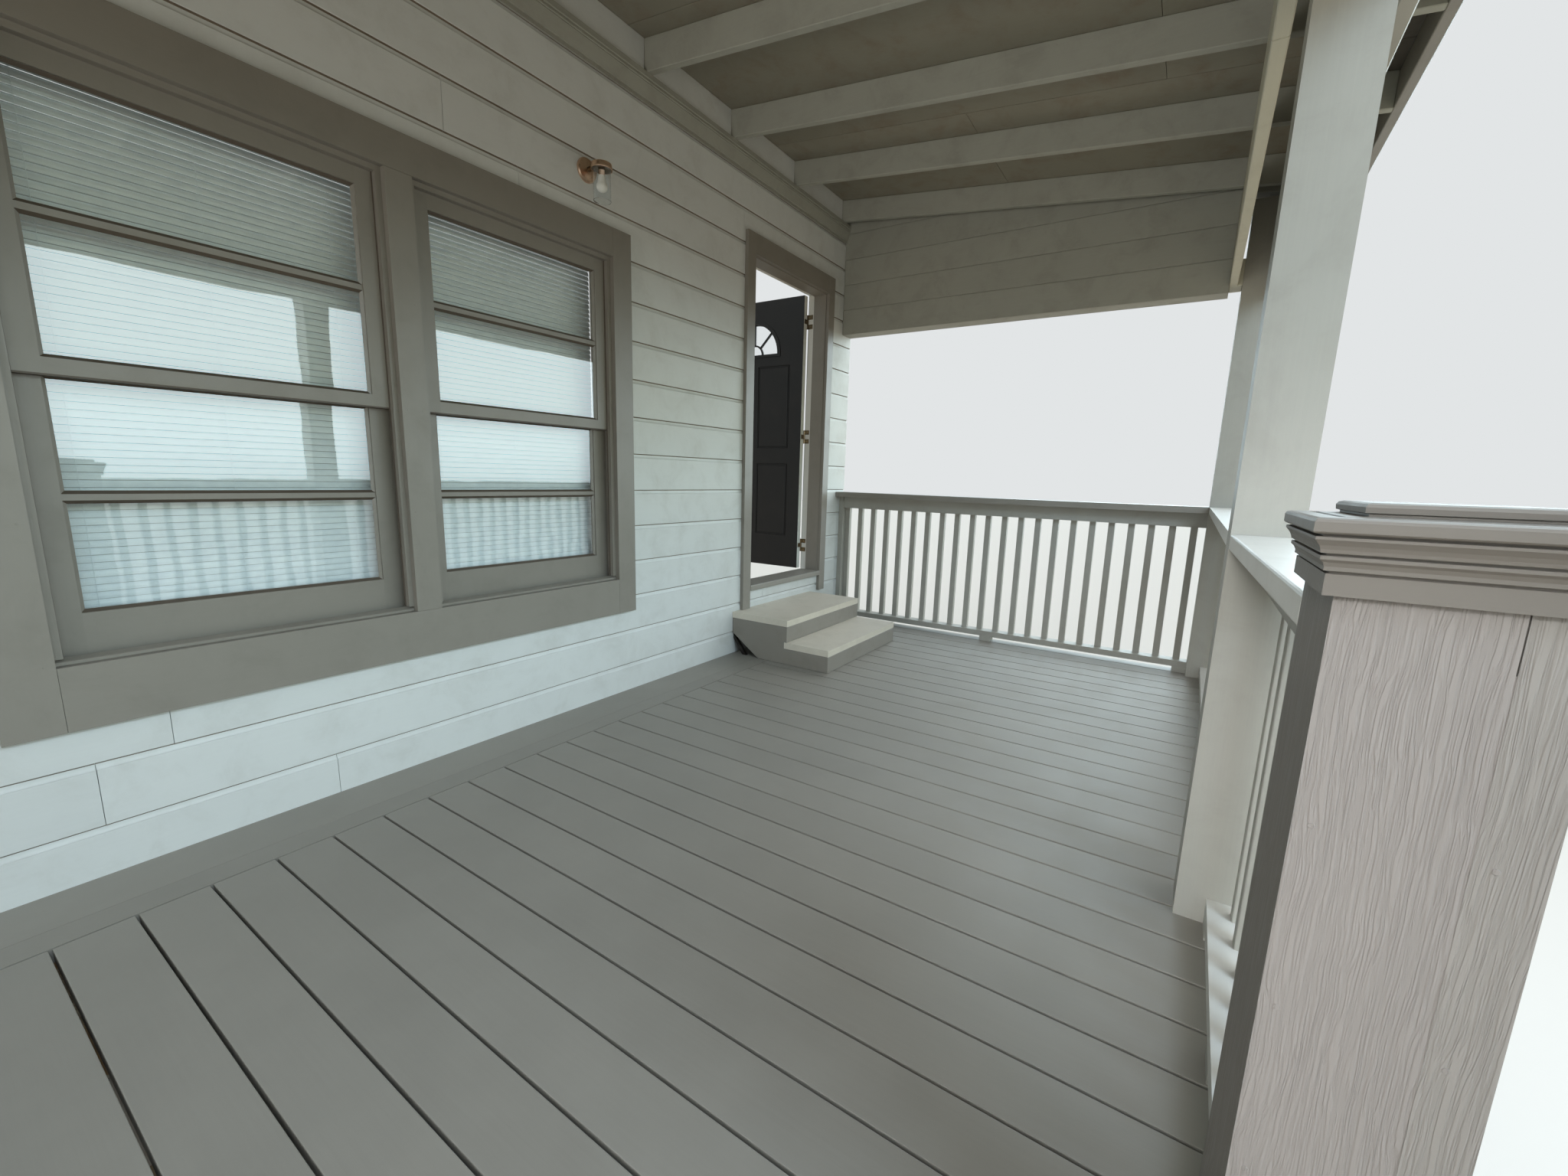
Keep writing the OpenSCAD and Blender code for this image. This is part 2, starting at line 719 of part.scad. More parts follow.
// Front steps down to the ground
stair_x0 = stair_lo - stair_side;
stair_x1 = stair_hi + stair_side;
function tread_top(k) = deck_h - (k + 1) * front_rise;
function tread_y(k) = deck_front - k * tread_d;
tread_t = lumber_t;
module front_treads() {
    color(taupe) for (k = [0:risers - 2])
        slab(stair_x0, stair_x1, tread_y(k + 1) - nosing, tread_y(k), tread_top(k) - tread_t, tread_top(k));
}
module front_risers() {
    color(taupe) for (k = [0:risers - 1])
        slab(stair_x0, stair_x1, tread_y(k) - riser_t, tread_y(k),
            max(0, tread_top(k)), tread_top(k) + front_rise - (k == 0 ? board_t : tread_t));
}
module stringer(x) {
    run_x(x, x + lumber_t, concat([[deck_front, 0]],
        [for (k = [0:risers - 2]) each [[tread_y(k), tread_top(k) - tread_t],
            [tread_y(k + 1), tread_top(k) - tread_t]]],
        [[tread_y(risers - 1), 0]]));
}
module front_stringers() {
    color(taupe) {
        stringer(stair_x0);
        stringer((stair_x0 + stair_x1 - lumber_t) / 2);
        stringer(stair_x1 - lumber_t);
    }
}

// Roof
moulding_foot = 8;
moulding_head = 26;
module wall_ledger() {
    color(taupe) {
        slab(-panel_in, panel_in, ledger_y, siding_y, seat_z - ledger_h, seat_z);
        run_x(-panel_in, panel_in, [[siding_y, seat_z - ledger_h], [siding_y, seat_z - ledger_h - moulding_h],
            [siding_y - moulding_foot, seat_z - ledger_h - moulding_h],
            [siding_y - moulding_head, seat_z - ledger_h]]);
    }
}
module rafters() {
    color(taupe) for (x = rafter_xs)
        run_x(x, x + lumber_t, [[siding_y, seat_z], [ledger_y, seat_z], [eave_y, under(eave_y)],
            [eave_y, over(eave_y)], [siding_y, over(siding_y)]]);
}
block_t = 19;
module rafter_blocking() {
    color(white_paint) {
        for (k = [0:len(rafter_xs) - 2])
            run_x(rafter_xs[k] + lumber_t, rafter_xs[k + 1], [[siding_y, seat_z],
                [siding_y - block_t, seat_z], [siding_y - block_t, over(siding_y - block_t)],
                [siding_y, over(siding_y)]]);
    }
}
cleat_h = 140;
module beam_boards() {
    color(taupe) {
        run_x(-end_x, end_x, [[beam_in_y, deck_h + beam_in_z], [beam_in_back, deck_h + beam_in_z],
            [beam_in_back, beam_top(beam_in_back)], [beam_in_y, beam_top(beam_in_y)]]);
        run_x(-end_x, end_x, [[beam_out_front, deck_h + beam_out_z], [beam_out_y, deck_h + beam_out_z],
            [beam_out_y, beam_top(beam_out_y)], [beam_out_front, beam_top(beam_out_front)]]);
        for (x = [-bay_w, 0, bay_w]) {
            slab(x - post_half, x + post_half, beam_in_y - beam_gap, beam_in_y,
                deck_h + beam_in_z, deck_h + beam_in_z + cleat_h);
            slab(x - post_half, x + post_half, beam_out_y, beam_out_y + beam_gap,
                deck_h + beam_out_z, deck_h + beam_out_z + cleat_h);
        }
    }
}
module end_panel(x) {
    run_x(x - post_half, x + post_half, [[siding_y, deck_h + panel_z], [beam_in_back, deck_h + panel_z],
        [beam_in_back, under(beam_in_back)], [eave_y, under(eave_y)], [eave_y, over(eave_y)],
        [siding_y, over(siding_y)]]);
}
module end_panels() {
    color(white_paint) {
        end_panel(-bay_w);
        end_panel(bay_w);
    }
}
roof_end = end_x + gable;
cover_y = fascia_y - drip;
felt_gap = 0.2;
function cover_z(y) = over(y) + sheath_t + felt_gap;
module roof_boards() {
    color(bare_wood) run_x(-roof_end, roof_end, [[siding_y, roof_foot(siding_y)],
        [fascia_y, roof_foot(fascia_y)], [fascia_y, roof_foot(fascia_y) + sheath_t],
        [siding_y, roof_foot(siding_y) + sheath_t]]);
}
module roof_covering() {
    color("#4a4845") run_x(-roof_end, roof_end, [[siding_y, cover_z(siding_y)],
        [cover_y, cover_z(cover_y)], [cover_y, cover_z(cover_y) + cover_t],
        [siding_y, cover_z(siding_y) + cover_t]]);
}
module eave_boards() {
    color(taupe) {
        run_x(-roof_end + lumber_t, roof_end - lumber_t, [[fascia_y, under(eave_y)], [eave_y, under(eave_y)],
            [eave_y, over(eave_y)], [fascia_y, over(fascia_y)]]);
        for (x = [-roof_end, roof_end - lumber_t])
            run_x(x, x + lumber_t, [[siding_y, over(siding_y) - rake_h], [fascia_y, over(fascia_y) - rake_h],
                [fascia_y, over(fascia_y)], [siding_y, over(siding_y)]]);
    }
}

footing_wall();
wall_left();
wall_at_windows();
wall_middle();
wall_at_door();
wall_right();
window_casing();
window_frame();
window_sashes();
window_glass();
window_blinds();
inside_trim();
door_frame();
door_casing();
threshold();
door_leaf();
fan_light();
door_knobs();
hinge_leaves();
hinge_jambs();
lamp_fitting();
lamp_glass();
lamp_bulb();
deck_floor();
deck_joists();
deck_girders();
rim_boards();
deck_piers();
roof_posts();
newel_posts();
newel_caps();
rail_caps();
far_railing();
front_railing();
near_bay_railing();
left_railing();
entry_treads();
entry_box();
front_treads();
front_stringers();
front_risers();
wall_ledger();
rafters();
rafter_blocking();
beam_boards();
end_panels();
roof_boards();
roof_covering();
eave_boards();
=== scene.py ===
import math
import random

import bmesh
import bpy
from mathutils import Matrix, Vector


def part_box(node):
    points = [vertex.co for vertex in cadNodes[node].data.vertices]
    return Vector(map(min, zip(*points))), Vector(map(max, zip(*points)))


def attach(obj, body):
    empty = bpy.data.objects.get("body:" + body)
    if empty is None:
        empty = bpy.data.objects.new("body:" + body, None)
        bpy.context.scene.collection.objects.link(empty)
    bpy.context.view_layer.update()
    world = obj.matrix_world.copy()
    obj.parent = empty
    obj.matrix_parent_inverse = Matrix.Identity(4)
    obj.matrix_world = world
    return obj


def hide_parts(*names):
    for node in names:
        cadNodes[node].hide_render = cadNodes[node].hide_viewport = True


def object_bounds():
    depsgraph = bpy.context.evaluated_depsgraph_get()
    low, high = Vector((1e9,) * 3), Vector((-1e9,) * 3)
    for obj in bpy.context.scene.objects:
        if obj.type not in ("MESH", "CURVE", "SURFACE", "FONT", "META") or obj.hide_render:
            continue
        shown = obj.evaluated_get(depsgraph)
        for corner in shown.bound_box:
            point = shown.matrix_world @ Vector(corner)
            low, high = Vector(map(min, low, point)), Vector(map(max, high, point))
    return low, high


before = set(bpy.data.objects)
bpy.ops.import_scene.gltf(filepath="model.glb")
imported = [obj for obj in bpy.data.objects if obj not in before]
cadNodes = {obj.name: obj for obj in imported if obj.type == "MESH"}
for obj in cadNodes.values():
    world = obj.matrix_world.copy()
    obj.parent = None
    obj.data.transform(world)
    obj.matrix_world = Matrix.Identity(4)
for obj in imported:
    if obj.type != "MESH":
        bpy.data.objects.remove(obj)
cadLo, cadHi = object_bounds()
draw = random.Random(41)

print("Measuring the frame")

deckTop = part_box("deck_floor")[1].z
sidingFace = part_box("wall_left")[0].y
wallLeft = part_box("wall_left")[0].x
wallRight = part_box("wall_right")[1].x
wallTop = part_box("wall_left")[1].z
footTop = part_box("footing_wall")[1].z
lumber = 0.038


def solidsOf(node):
    # Lowest and highest corner of each separate solid of a CAD node
    part = bmesh.new()
    part.from_mesh(cadNodes[node].data)
    bmesh.ops.remove_doubles(part, verts=part.verts, dist=1e-5)
    left = set(part.verts)
    found = []
    while left:
        group = [left.pop()]
        for vert in group:
            for edge in vert.link_edges:
                other = edge.other_vert(vert)
                if other in left:
                    left.remove(other)
                    group.append(other)
        lo = Vector([min(vert.co[axis] for vert in group) for axis in range(3)])
        hi = Vector([max(vert.co[axis] for vert in group) for axis in range(3)])
        found.append((lo, hi))
    part.free()
    return sorted(found, key=lambda pair: tuple(round(number, 4) for number in pair[0]))


print("Building the materials")


def shade(red, green, blue):
    # A screen colour from 0 to 255 as the linear colour that shaders take
    parts = [number / 255 for number in (red, green, blue)]
    return tuple(p / 12.92 if p <= 0.04045 else ((p + 0.055) / 1.055) ** 2.4 for p in parts) + (1,)


class Graph:
    # Short calls for adding and joining nodes of one tree
    def __init__(self, tree):
        self.tree = tree

    def add(self, kind, inputs=None, **settings):
        node = self.tree.nodes.new(kind)
        for key, value in settings.items():
            setattr(node, key, value)
        for key, value in (inputs or {}).items():
            self.feed(node.inputs[key], value)
        return node

    def feed(self, socket, value):
        if isinstance(value, bpy.types.NodeSocket):
            self.tree.links.new(value, socket)
        else:
            socket.default_value = value

    def maths(self, operation, *values):
        node = self.add("ShaderNodeMath", operation=operation)
        for socket, value in zip(node.inputs, values):
            self.feed(socket, value)
        return node.outputs[0]

    def times(self, first, second):
        return self.maths("MULTIPLY", first, second)

    def plus(self, first, second):
        return self.maths("ADD", first, second)

    def minus(self, first, second):
        return self.maths("SUBTRACT", first, second)

    def raised(self, base, value, factor):
        return self.maths("MULTIPLY_ADD", value, factor, base)

    def swayed(self, base, value, amount, middle=0.5):
        # The base, moved up and down as the value strays from its middle
        return self.raised(base, self.minus(value, middle), amount)

    def vector(self, operation, *values):
        node = self.add("ShaderNodeVectorMath", operation=operation)
        for socket, value in zip(node.inputs, values):
            self.feed(socket, value)
        return node.outputs[0]

    def noise(self, vector, scale, detail=4.0, roughness=0.55, distortion=0.0):
        values = {"Vector": vector, "Scale": scale, "Detail": detail, "Roughness": roughness,
                  "Distortion": distortion}
        return self.add("ShaderNodeTexNoise", values).outputs[0]

    def window(self, value, low, high):
        # Nothing below low, all above high, and a smooth step between
        values = {"Value": value, "From Min": low, "From Max": high}
        return self.add("ShaderNodeMapRange", values, interpolation_type="SMOOTHSTEP").outputs[0]

    def blend(self, factor, first, second):
        node = self.add("ShaderNodeMix", data_type="RGBA")
        self.feed(node.inputs["Factor"], factor)
        self.feed(node.inputs[6], first)
        self.feed(node.inputs[7], second)
        return node.outputs[2]

    def socket(self, name, start, output=False):
        # The start value gives the kind; a kind by its name has no start value
        kind = start
        if not isinstance(start, str):
            kind = {int: "Int", float: "Float", tuple: "Vector"}[type(start)]
            if kind == "Vector" and len(start) == 4:
                kind = "Color"
        made = self.tree.interface.new_socket(name, in_out="OUTPUT" if output else "INPUT",
                                              socket_type="NodeSocket" + kind)
        if kind != start:
            made.default_value = start

    def ends(self, inputs, outputs):
        # The sockets that come into the tree and those that go out of it
        for name, start in inputs.items():
            self.socket(name, start)
        for name, kind in outputs.items():
            self.socket(name, kind, True)
        return self.add("NodeGroupInput").outputs, self.add("NodeGroupOutput").inputs


def shaderGroup(name, inputs, outputs=("Colour", "Roughness", "Height")):
    graph = Graph(bpy.data.node_groups.new(name, "ShaderNodeTree"))
    kinds = {output: "Color" if output == "Colour" else "Float" for output in outputs}
    return graph, *graph.ends(inputs, kinds)


def boardShift(graph):
    # Object coordinates, moved by each board's own number so that the grain doesn't run on
    spot = graph.add("ShaderNodeTexCoord").outputs["Object"]
    tint = graph.add("ShaderNodeAttribute", attribute_name="tint").outputs["Fac"]
    jump = graph.times(tint, 37.0)
    offset = graph.add("ShaderNodeCombineXYZ", {"X": jump, "Y": jump, "Z": jump}).outputs[0]
    return graph.vector("ADD", spot, offset), tint


def paintedTimberGroup():
    graph, source, sink = shaderGroup("paintedTimber", {
        "Paint": (0.5, 0.5, 0.5, 1), "Bare": (0.3, 0.25, 0.2, 1),
        "Grime": (0.1, 0.1, 0.09, 1), "Along": (4, 80, 80),
        "Grain": 0.3, "Mottle": 0.15, "Variation": 0.1,
        "Chips": 0.1, "Dust": 0.2, "Gloss": 0.55})
    spot, tint = boardShift(graph)
    worn = graph.add("ShaderNodeAttribute", attribute_name="worn").outputs["Fac"]
    fibre = graph.vector("MULTIPLY", spot, source["Along"])
    grain = graph.noise(fibre, 1.0, 7.0, 0.62, 0.5)
    cloud = graph.noise(spot, 2.4, 4.0)
    pore = graph.noise(spot, 190.0, 2.0)
    flake = graph.noise(fibre, 0.55, 8.0, 0.72, 0.3)
    rubbed = graph.times(worn, 0.13)
    lifted = graph.plus(flake, rubbed)
    low = graph.minus(0.86, graph.times(source["Chips"], 0.3))
    chip = graph.window(lifted, low, graph.plus(low, 0.025))
    haze = graph.noise(spot, 6.0, 8.0, 0.66, 0.4)
    grime = graph.times(graph.window(haze, 0.42, 0.78), source["Dust"])
    light = graph.swayed(1.0, grain, source["Grain"])
    light = graph.swayed(light, cloud, source["Mottle"])
    light = graph.swayed(light, tint, source["Variation"])
    toned = graph.add("ShaderNodeHueSaturation", {"Value": light, "Color": source["Paint"]})
    chipped = graph.blend(chip, toned.outputs[0], source["Bare"])
    graph.feed(sink["Colour"], graph.blend(grime, chipped, source["Grime"]))
    rough = graph.swayed(source["Gloss"], grain, 0.2)
    rough = graph.raised(rough, chip, 0.2)
    graph.feed(sink["Roughness"], graph.raised(rough, grime, 0.3))
    relief = graph.times(grain, source["Grain"])
    relief = graph.raised(relief, pore, 0.06)
    graph.feed(sink["Height"], graph.raised(relief, chip, -0.25))
    return graph.tree


def gritGroup():
    graph, source, sink = shaderGroup("grit", {
        "Light": (0.6, 0.6, 0.6, 1), "Dark": (0.3, 0.3, 0.3, 1),
        "Scale": 120.0, "Stain": 0.3, "Variation": 0.3}, ("Colour", "Height"))
    spot, tint = boardShift(graph)
    speck = graph.noise(spot, source["Scale"], 5.0, 0.7)
    pits = graph.add("ShaderNodeTexVoronoi", {"Vector": spot, "Scale": source["Scale"]}).outputs["Distance"]
    cloud = graph.noise(spot, 3.5, 6.0)
    mixed = graph.plus(graph.times(speck, 0.6), graph.times(pits, 0.5))
    mixed = graph.swayed(mixed, tint, source["Variation"])
    mixed = graph.swayed(mixed, cloud, source["Stain"])
    graph.feed(sink["Colour"], graph.blend(graph.window(mixed, 0.2, 0.85), source["Dark"], source["Light"]))
    graph.feed(sink["Height"], mixed)
    return graph.tree


def tarnishGroup():
    graph, source, sink = shaderGroup("tarnish", {
        "Bright": (0.7, 0.4, 0.25, 1), "Dull": (0.2, 0.12, 0.08, 1),
        "Amount": 0.5})
    spot = graph.add("ShaderNodeTexCoord").outputs["Object"]
    patch = graph.noise(spot, 55.0, 6.0, 0.62, 0.6)
    brushed = graph.noise(graph.vector("MULTIPLY", spot, (900.0, 900.0, 60.0)), 1.0, 2.0)
    edge = graph.minus(0.75, graph.times(source["Amount"], 0.5))
    dull = graph.window(patch, edge, graph.plus(edge, 0.3))
    graph.feed(sink["Colour"], graph.blend(dull, source["Bright"], source["Dull"]))
    graph.feed(sink["Roughness"], graph.raised(0.28, dull, 0.35))
    graph.feed(sink["Height"], graph.raised(patch, brushed, 0.3))
    return graph.tree


def sawnTimberGroup():
    # Rough sawn boards under paint: long wandering ridges like a comb's, and a few short cracks
    graph, source, sink = shaderGroup("sawnTimber", {
        "Paint": (0.4, 0.38, 0.35, 1), "Low": (0.4, 0.36, 0.32, 1),
        "Crack": (0.1, 0.08, 0.06, 1), "Comb": 0.5, "Sway": 0.02,
        "Lean": 0.0, "Cracks": 0.5, "Gloss": 0.6})
    spot = boardShift(graph)[0]
    place = graph.add("ShaderNodeSeparateXYZ", {"Vector": spot}).outputs
    drift = graph.minus(graph.noise(graph.vector("MULTIPLY", spot, (9.0, 9.0, 3.0)), 1.0, 3.0), 0.5)
    bend = graph.raised(graph.times(place["Z"], source["Lean"]), drift, source["Sway"])
    side = graph.add("ShaderNodeCombineXYZ", {"X": bend, "Y": bend, "Z": 0.0}).outputs[0]
    moved = graph.vector("ADD", spot, side)
    comb = graph.noise(graph.vector("MULTIPLY", moved, (230.0, 230.0, 5.0)), 1.0, 3.0, 0.55, 0.4)
    broad = graph.noise(graph.vector("MULTIPLY", moved, (60.0, 60.0, 2.0)), 1.0, 4.0, 0.6)
    ridge = graph.window(graph.maths("ABSOLUTE", graph.minus(comb, 0.5)), 0.0, 0.13)
    knot = graph.noise(spot, 9.0, 3.0)
    thread = graph.noise(graph.vector("MULTIPLY", moved, (42.0, 42.0, 7.0)), 1.0, 2.0, 0.5, 0.8)
    thin = graph.maths("ABSOLUTE", graph.minus(thread, 0.5))
    line = graph.minus(1.0, graph.window(thin, 0.004, 0.016))
    few = graph.window(knot, graph.minus(0.74, graph.times(source["Cracks"], 0.2)), 0.78)
    crack = graph.times(line, few)
    tone = graph.swayed(1.0, ridge, graph.times(source["Comb"], 0.09), 0.7)
    tone = graph.swayed(tone, broad, 0.05)
    mixed = graph.blend(graph.window(place["Z"], 1.5, 0.75), source["Paint"], source["Low"])
    toned = graph.add("ShaderNodeHueSaturation", {"Value": tone, "Color": mixed}).outputs[0]
    graph.feed(sink["Colour"], graph.blend(crack, toned, source["Crack"]))
    graph.feed(sink["Roughness"], graph.raised(source["Gloss"], ridge, -0.08))
    relief = graph.raised(graph.times(ridge, source["Comb"]), broad, 0.8)
    graph.feed(sink["Height"], graph.raised(relief, crack, -1.2))
    return graph.tree


paintedTimber = paintedTimberGroup()
sawnTimber = sawnTimberGroup()
grit = gritGroup()
tarnish = tarnishGroup()

# How fast the grain changes along and across a board, for each metre
fibreRun = {"x": (3.0, 150.0, 150.0), "y": (150.0, 3.0, 150.0), "z": (150.0, 150.0, 3.0)}


def surfaceMaterial(name, tree, values, relief, steady=None):
    # A surface shader fed by one of the groups, with a bump of the given depth in metres
    material = bpy.data.materials.new(name)
    material.use_nodes = True
    graph = Graph(material.node_tree)
    shader = material.node_tree.nodes["Principled BSDF"]
    effect = graph.add("ShaderNodeGroup", node_tree=tree)
    for key, value in values.items():
        graph.feed(effect.inputs[key], value)
    graph.feed(shader.inputs["Base Color"], effect.outputs["Colour"])
    if "Roughness" in effect.outputs:
        graph.feed(shader.inputs["Roughness"], effect.outputs["Roughness"])
    bump = graph.add("ShaderNodeBump", {"Height": effect.outputs["Height"], "Distance": relief,
                                        "Strength": 1.0})
    graph.feed(shader.inputs["Normal"], bump.outputs[0])
    for key, value in (steady or {}).items():
        shader.inputs[key].default_value = value
    material.diffuse_color = shade(150, 150, 145)
    return material


# The three tones on a screen, the shares from 0 to 1, and the relief in metres, in this order
paintColumns = ("Paint", "Bare", "Grime", "Grain", "Mottle", "Variation", "Chips", "Dust", "Gloss", "Relief")
paints = {
    "siding": ((209, 212, 212), (150, 140, 125), (150, 146, 136), 0.05, 0.06, 0.05, 0.08, 0.22, 0.5, 0.0008),
    # The next row is painted shade with some dirt: a darker brown for the deepest strip of each siding cove,
    # under the next board's edge
    "soot": ((120, 108, 94), (90, 78, 64), (76, 66, 56), 0.2, 0.3, 0.2, 0.05, 0.5, 0.75, 0.001),
    "trim": ((132, 127, 119), (160, 152, 138), (96, 90, 80), 0.06, 0.08, 0.06, 0.02, 0.2, 0.42, 0.0006),
    "deck": ((139, 135, 127), (160, 154, 142), (142, 139, 131), 0.12, 0.3, 0.05, 0.08, 0.35, 0.48, 0.0011),
    # The next row is painted light: a lighter paint for the door step treads, standing for light on their
    # tops
    "step": ((210, 203, 189), (168, 160, 146), (150, 144, 132), 0.1, 0.1, 0.08, 0.02, 0.2, 0.46, 0.0009),
    "rail": ((162, 160, 152), (128, 116, 100), (120, 114, 104), 0.12, 0.07, 0.06, 0.03, 0.2, 0.5, 0.0012),
    "frame": ((156, 156, 147), (120, 104, 84), (98, 92, 84), 0.12, 0.1, 0.1, 0.03, 0.25, 0.6, 0.0014),
    # The next row is painted light: a lighter paint for the inner beam boards than the rail paint on the
    # outer ones
    "beam": ((188, 185, 168), (128, 116, 98), (112, 106, 98), 0.12, 0.1, 0.08, 0.03, 0.2, 0.55, 0.0014),
    "ceiling": ((136, 132, 119), (96, 74, 56), (116, 88, 68), 0.2, 0.16, 0.1, 0.12, 0.4, 0.65, 0.0016),
    "cap": ((115, 110, 104), (128, 116, 100), (112, 104, 94), 0.08, 0.08, 0.04, 0.06, 0.15, 0.5, 0.0009),
    # The next row is painted shade: a dark brown for thin lines in the gaps beside the sashes and over and
    # under the sash bars
    "putty": ((86, 76, 66), (70, 60, 52), (62, 54, 46), 0.05, 0.1, 0.06, 0.02, 0.1, 0.6, 0.0004),
    # The next row is painted shade: a darker copy of the ceiling paint for the sheets past the beams
    "soffit": ((84, 78, 70), (66, 54, 44), (58, 50, 42), 0.2, 0.16, 0.1, 0.06, 0.4, 0.75, 0.0016),
    # The next row is painted light: a lighter copy of the rail paint for the tops of the front caps and
    # bottom rails, where the sky falls
    "railTop": ((198, 197, 191), (150, 142, 128), (146, 140, 130), 0.1, 0.06, 0.04, 0.02, 0.15, 0.4, 0.0009),
    "inside": ((224, 224, 220), (190, 180, 160), (180, 174, 160), 0.03, 0.04, 0.03, 0.02, 0.12, 0.4, 0.0005),
    "door": ((29, 25, 22), (80, 72, 60), (54, 49, 43), 0.1, 0.12, 0.05, 0.02, 0.2, 0.44, 0.0008),
    "bare": ((150, 128, 98), (96, 78, 56), (96, 84, 68), 0.5, 0.3, 0.3, 0.06, 0.4, 0.75, 0.002),
}
# How much a paint mirrors at a straight look; the rest have the shader's own value
mirrorShares = {"door": 0.25, "cap": 0.2}
timbers = {}


def timber(kind, run):
    # The paint of one kind on boards whose grain runs along x, y or z
    if (kind, run) not in timbers:
        row = dict(zip(paintColumns, paints[kind]))
        relief = row.pop("Relief")
        values = {key: shade(*value) if isinstance(value, tuple) else value for key, value in row.items()}
        values["Along"] = fibreRun[run]
        steady = {"Specular IOR Level": mirrorShares.get(kind, 0.5)}
        timbers[kind, run] = surfaceMaterial(kind + "Paint_" + run, paintedTimber, values, relief, steady)
    return timbers[kind, run]


def paintedIn(*wishes):
    # The materials for wishes such as "trim z"
    return [timber(*wish.split()) for wish in wishes]


def glassMaterial(name, tone, rough, bend=1.5):
    # Clear to the camera, and open to shadow and diffuse rays so that what is behind is lit
    material = bpy.data.materials.new(name)
    material.use_nodes = True
    graph = Graph(material.node_tree)
    nodes = material.node_tree.nodes
    shader = nodes["Principled BSDF"]
    shader.inputs["Base Color"].default_value = tone
    shader.inputs["Roughness"].default_value = rough
    shader.inputs["IOR"].default_value = bend
    shader.inputs["Transmission Weight"].default_value = 1.0
    ripple = graph.noise(graph.add("ShaderNodeTexCoord").outputs["Object"], 3.0, 2.0)
    bump = graph.add("ShaderNodeBump", {"Height": ripple, "Distance": 0.0012, "Strength": 0.5})
    graph.feed(shader.inputs["Normal"], bump.outputs[0])
    rays = graph.add("ShaderNodeLightPath").outputs
    passing = graph.maths("MAXIMUM", rays["Is Shadow Ray"], rays["Is Diffuse Ray"])
    clear = graph.add("ShaderNodeBsdfTransparent", {"Color": (0.99, 1.0, 1.0, 1)})
    mixed = graph.add("ShaderNodeMixShader", {0: passing, 1: shader.outputs[0], 2: clear.outputs[0]})
    graph.feed(nodes["Material Output"].inputs["Surface"], mixed.outputs[0])
    return material


windowGlass = glassMaterial("windowGlass", (0.985, 1.0, 1.0, 1), 0.01, 1.7)
lampGlass = glassMaterial("lampGlass", (0.95, 0.98, 1.0, 1), 0.04)


def tarnished(name, bright, dull, amount, metallic, relief=0.0003):
    values = {"Bright": shade(*bright), "Dull": shade(*dull), "Amount": amount}
    return surfaceMaterial(name, tarnish, values, relief, {"Metallic": metallic})


def gritty(name, light, dark, scale, stain, variation, roughness, relief):
    values = {"Light": shade(*light), "Dark": shade(*dark), "Scale": scale, "Stain": stain,
              "Variation": variation}
    return surfaceMaterial(name, grit, values, relief, {"Roughness": roughness})


def sawn(name, relief, paint, low, crack, comb, sway, lean, cracks):
    values = {"Paint": shade(*paint), "Low": shade(*low), "Crack": shade(*crack), "Comb": comb, "Sway": sway,
              "Lean": lean, "Cracks": cracks, "Gloss": 0.6}
    return surfaceMaterial(name, sawnTimber, values, relief)


copper = tarnished("agedCopper", (226, 192, 164), (158, 118, 84), 0.4, 1.0)
darkBronze = tarnished("darkBronze", (104, 86, 64), (48, 40, 31), 0.6, 0.9)
brass = tarnished("agedBrass", (176, 142, 92), (72, 58, 42), 0.7, 1.0)
dullZinc = tarnished("dullZinc", (168, 170, 172), (112, 112, 110), 0.5, 0.9)
frostedBulb = tarnished("frostedBulb", (232, 230, 224), (206, 202, 192), 0.2, 0.0, 0.0001)
blindVinyl = gritty("blindVinyl", (238, 249, 255), (226, 238, 246), 30.0, 0.2, 0.25, 0.42, 0.0001)
# The next material is painted shade: a darker copy of the slat vinyl for the part of each slat under the lip
# of the one above
slatPaintedShade = gritty("slatPaintedShade", (150, 158, 158), (136, 144, 144), 30.0, 0.2, 0.25, 0.6, 0.0001)
blockwork = gritty("cementBlock", (172, 168, 160), (118, 114, 106), 140.0, 0.5, 0.25, 0.9, 0.003)
mortar = gritty("mortar", (150, 146, 138), (110, 106, 98), 220.0, 0.4, 0.1, 0.95, 0.002)
shingleGrit = gritty("shingleGrit", (112, 108, 104), (44, 42, 41), 420.0, 0.35, 0.55, 0.93, 0.0015)
sawnFace = sawn("sawnNewelFace", 0.0007, (138, 132, 128), (153, 141, 127), (84, 76, 70),
                0.7, 0.03, 0.0, 0.5)
# The next material is painted shade: a darker copy of the newel paint for the inner face, turned away from
# the street
sawnShadedInner = sawn("sawnNewelShadedInner", 0.0006, (114, 108, 102), (106, 100, 94), (70, 62, 54),
                 0.5, 0.03, 0.0, 0.3)
sawnEdge = sawn("sawnNewelEdge", 0.00055, (139, 134, 129), (153, 142, 129), (88, 80, 72),
                0.9, 0.02, 0.02, 0.2)

print("Preparing the joinery tools")


def newPart():
    part = bmesh.new()
    part.faces.layers.float.new("tint")
    part.faces.layers.float.new("worn")
    return part


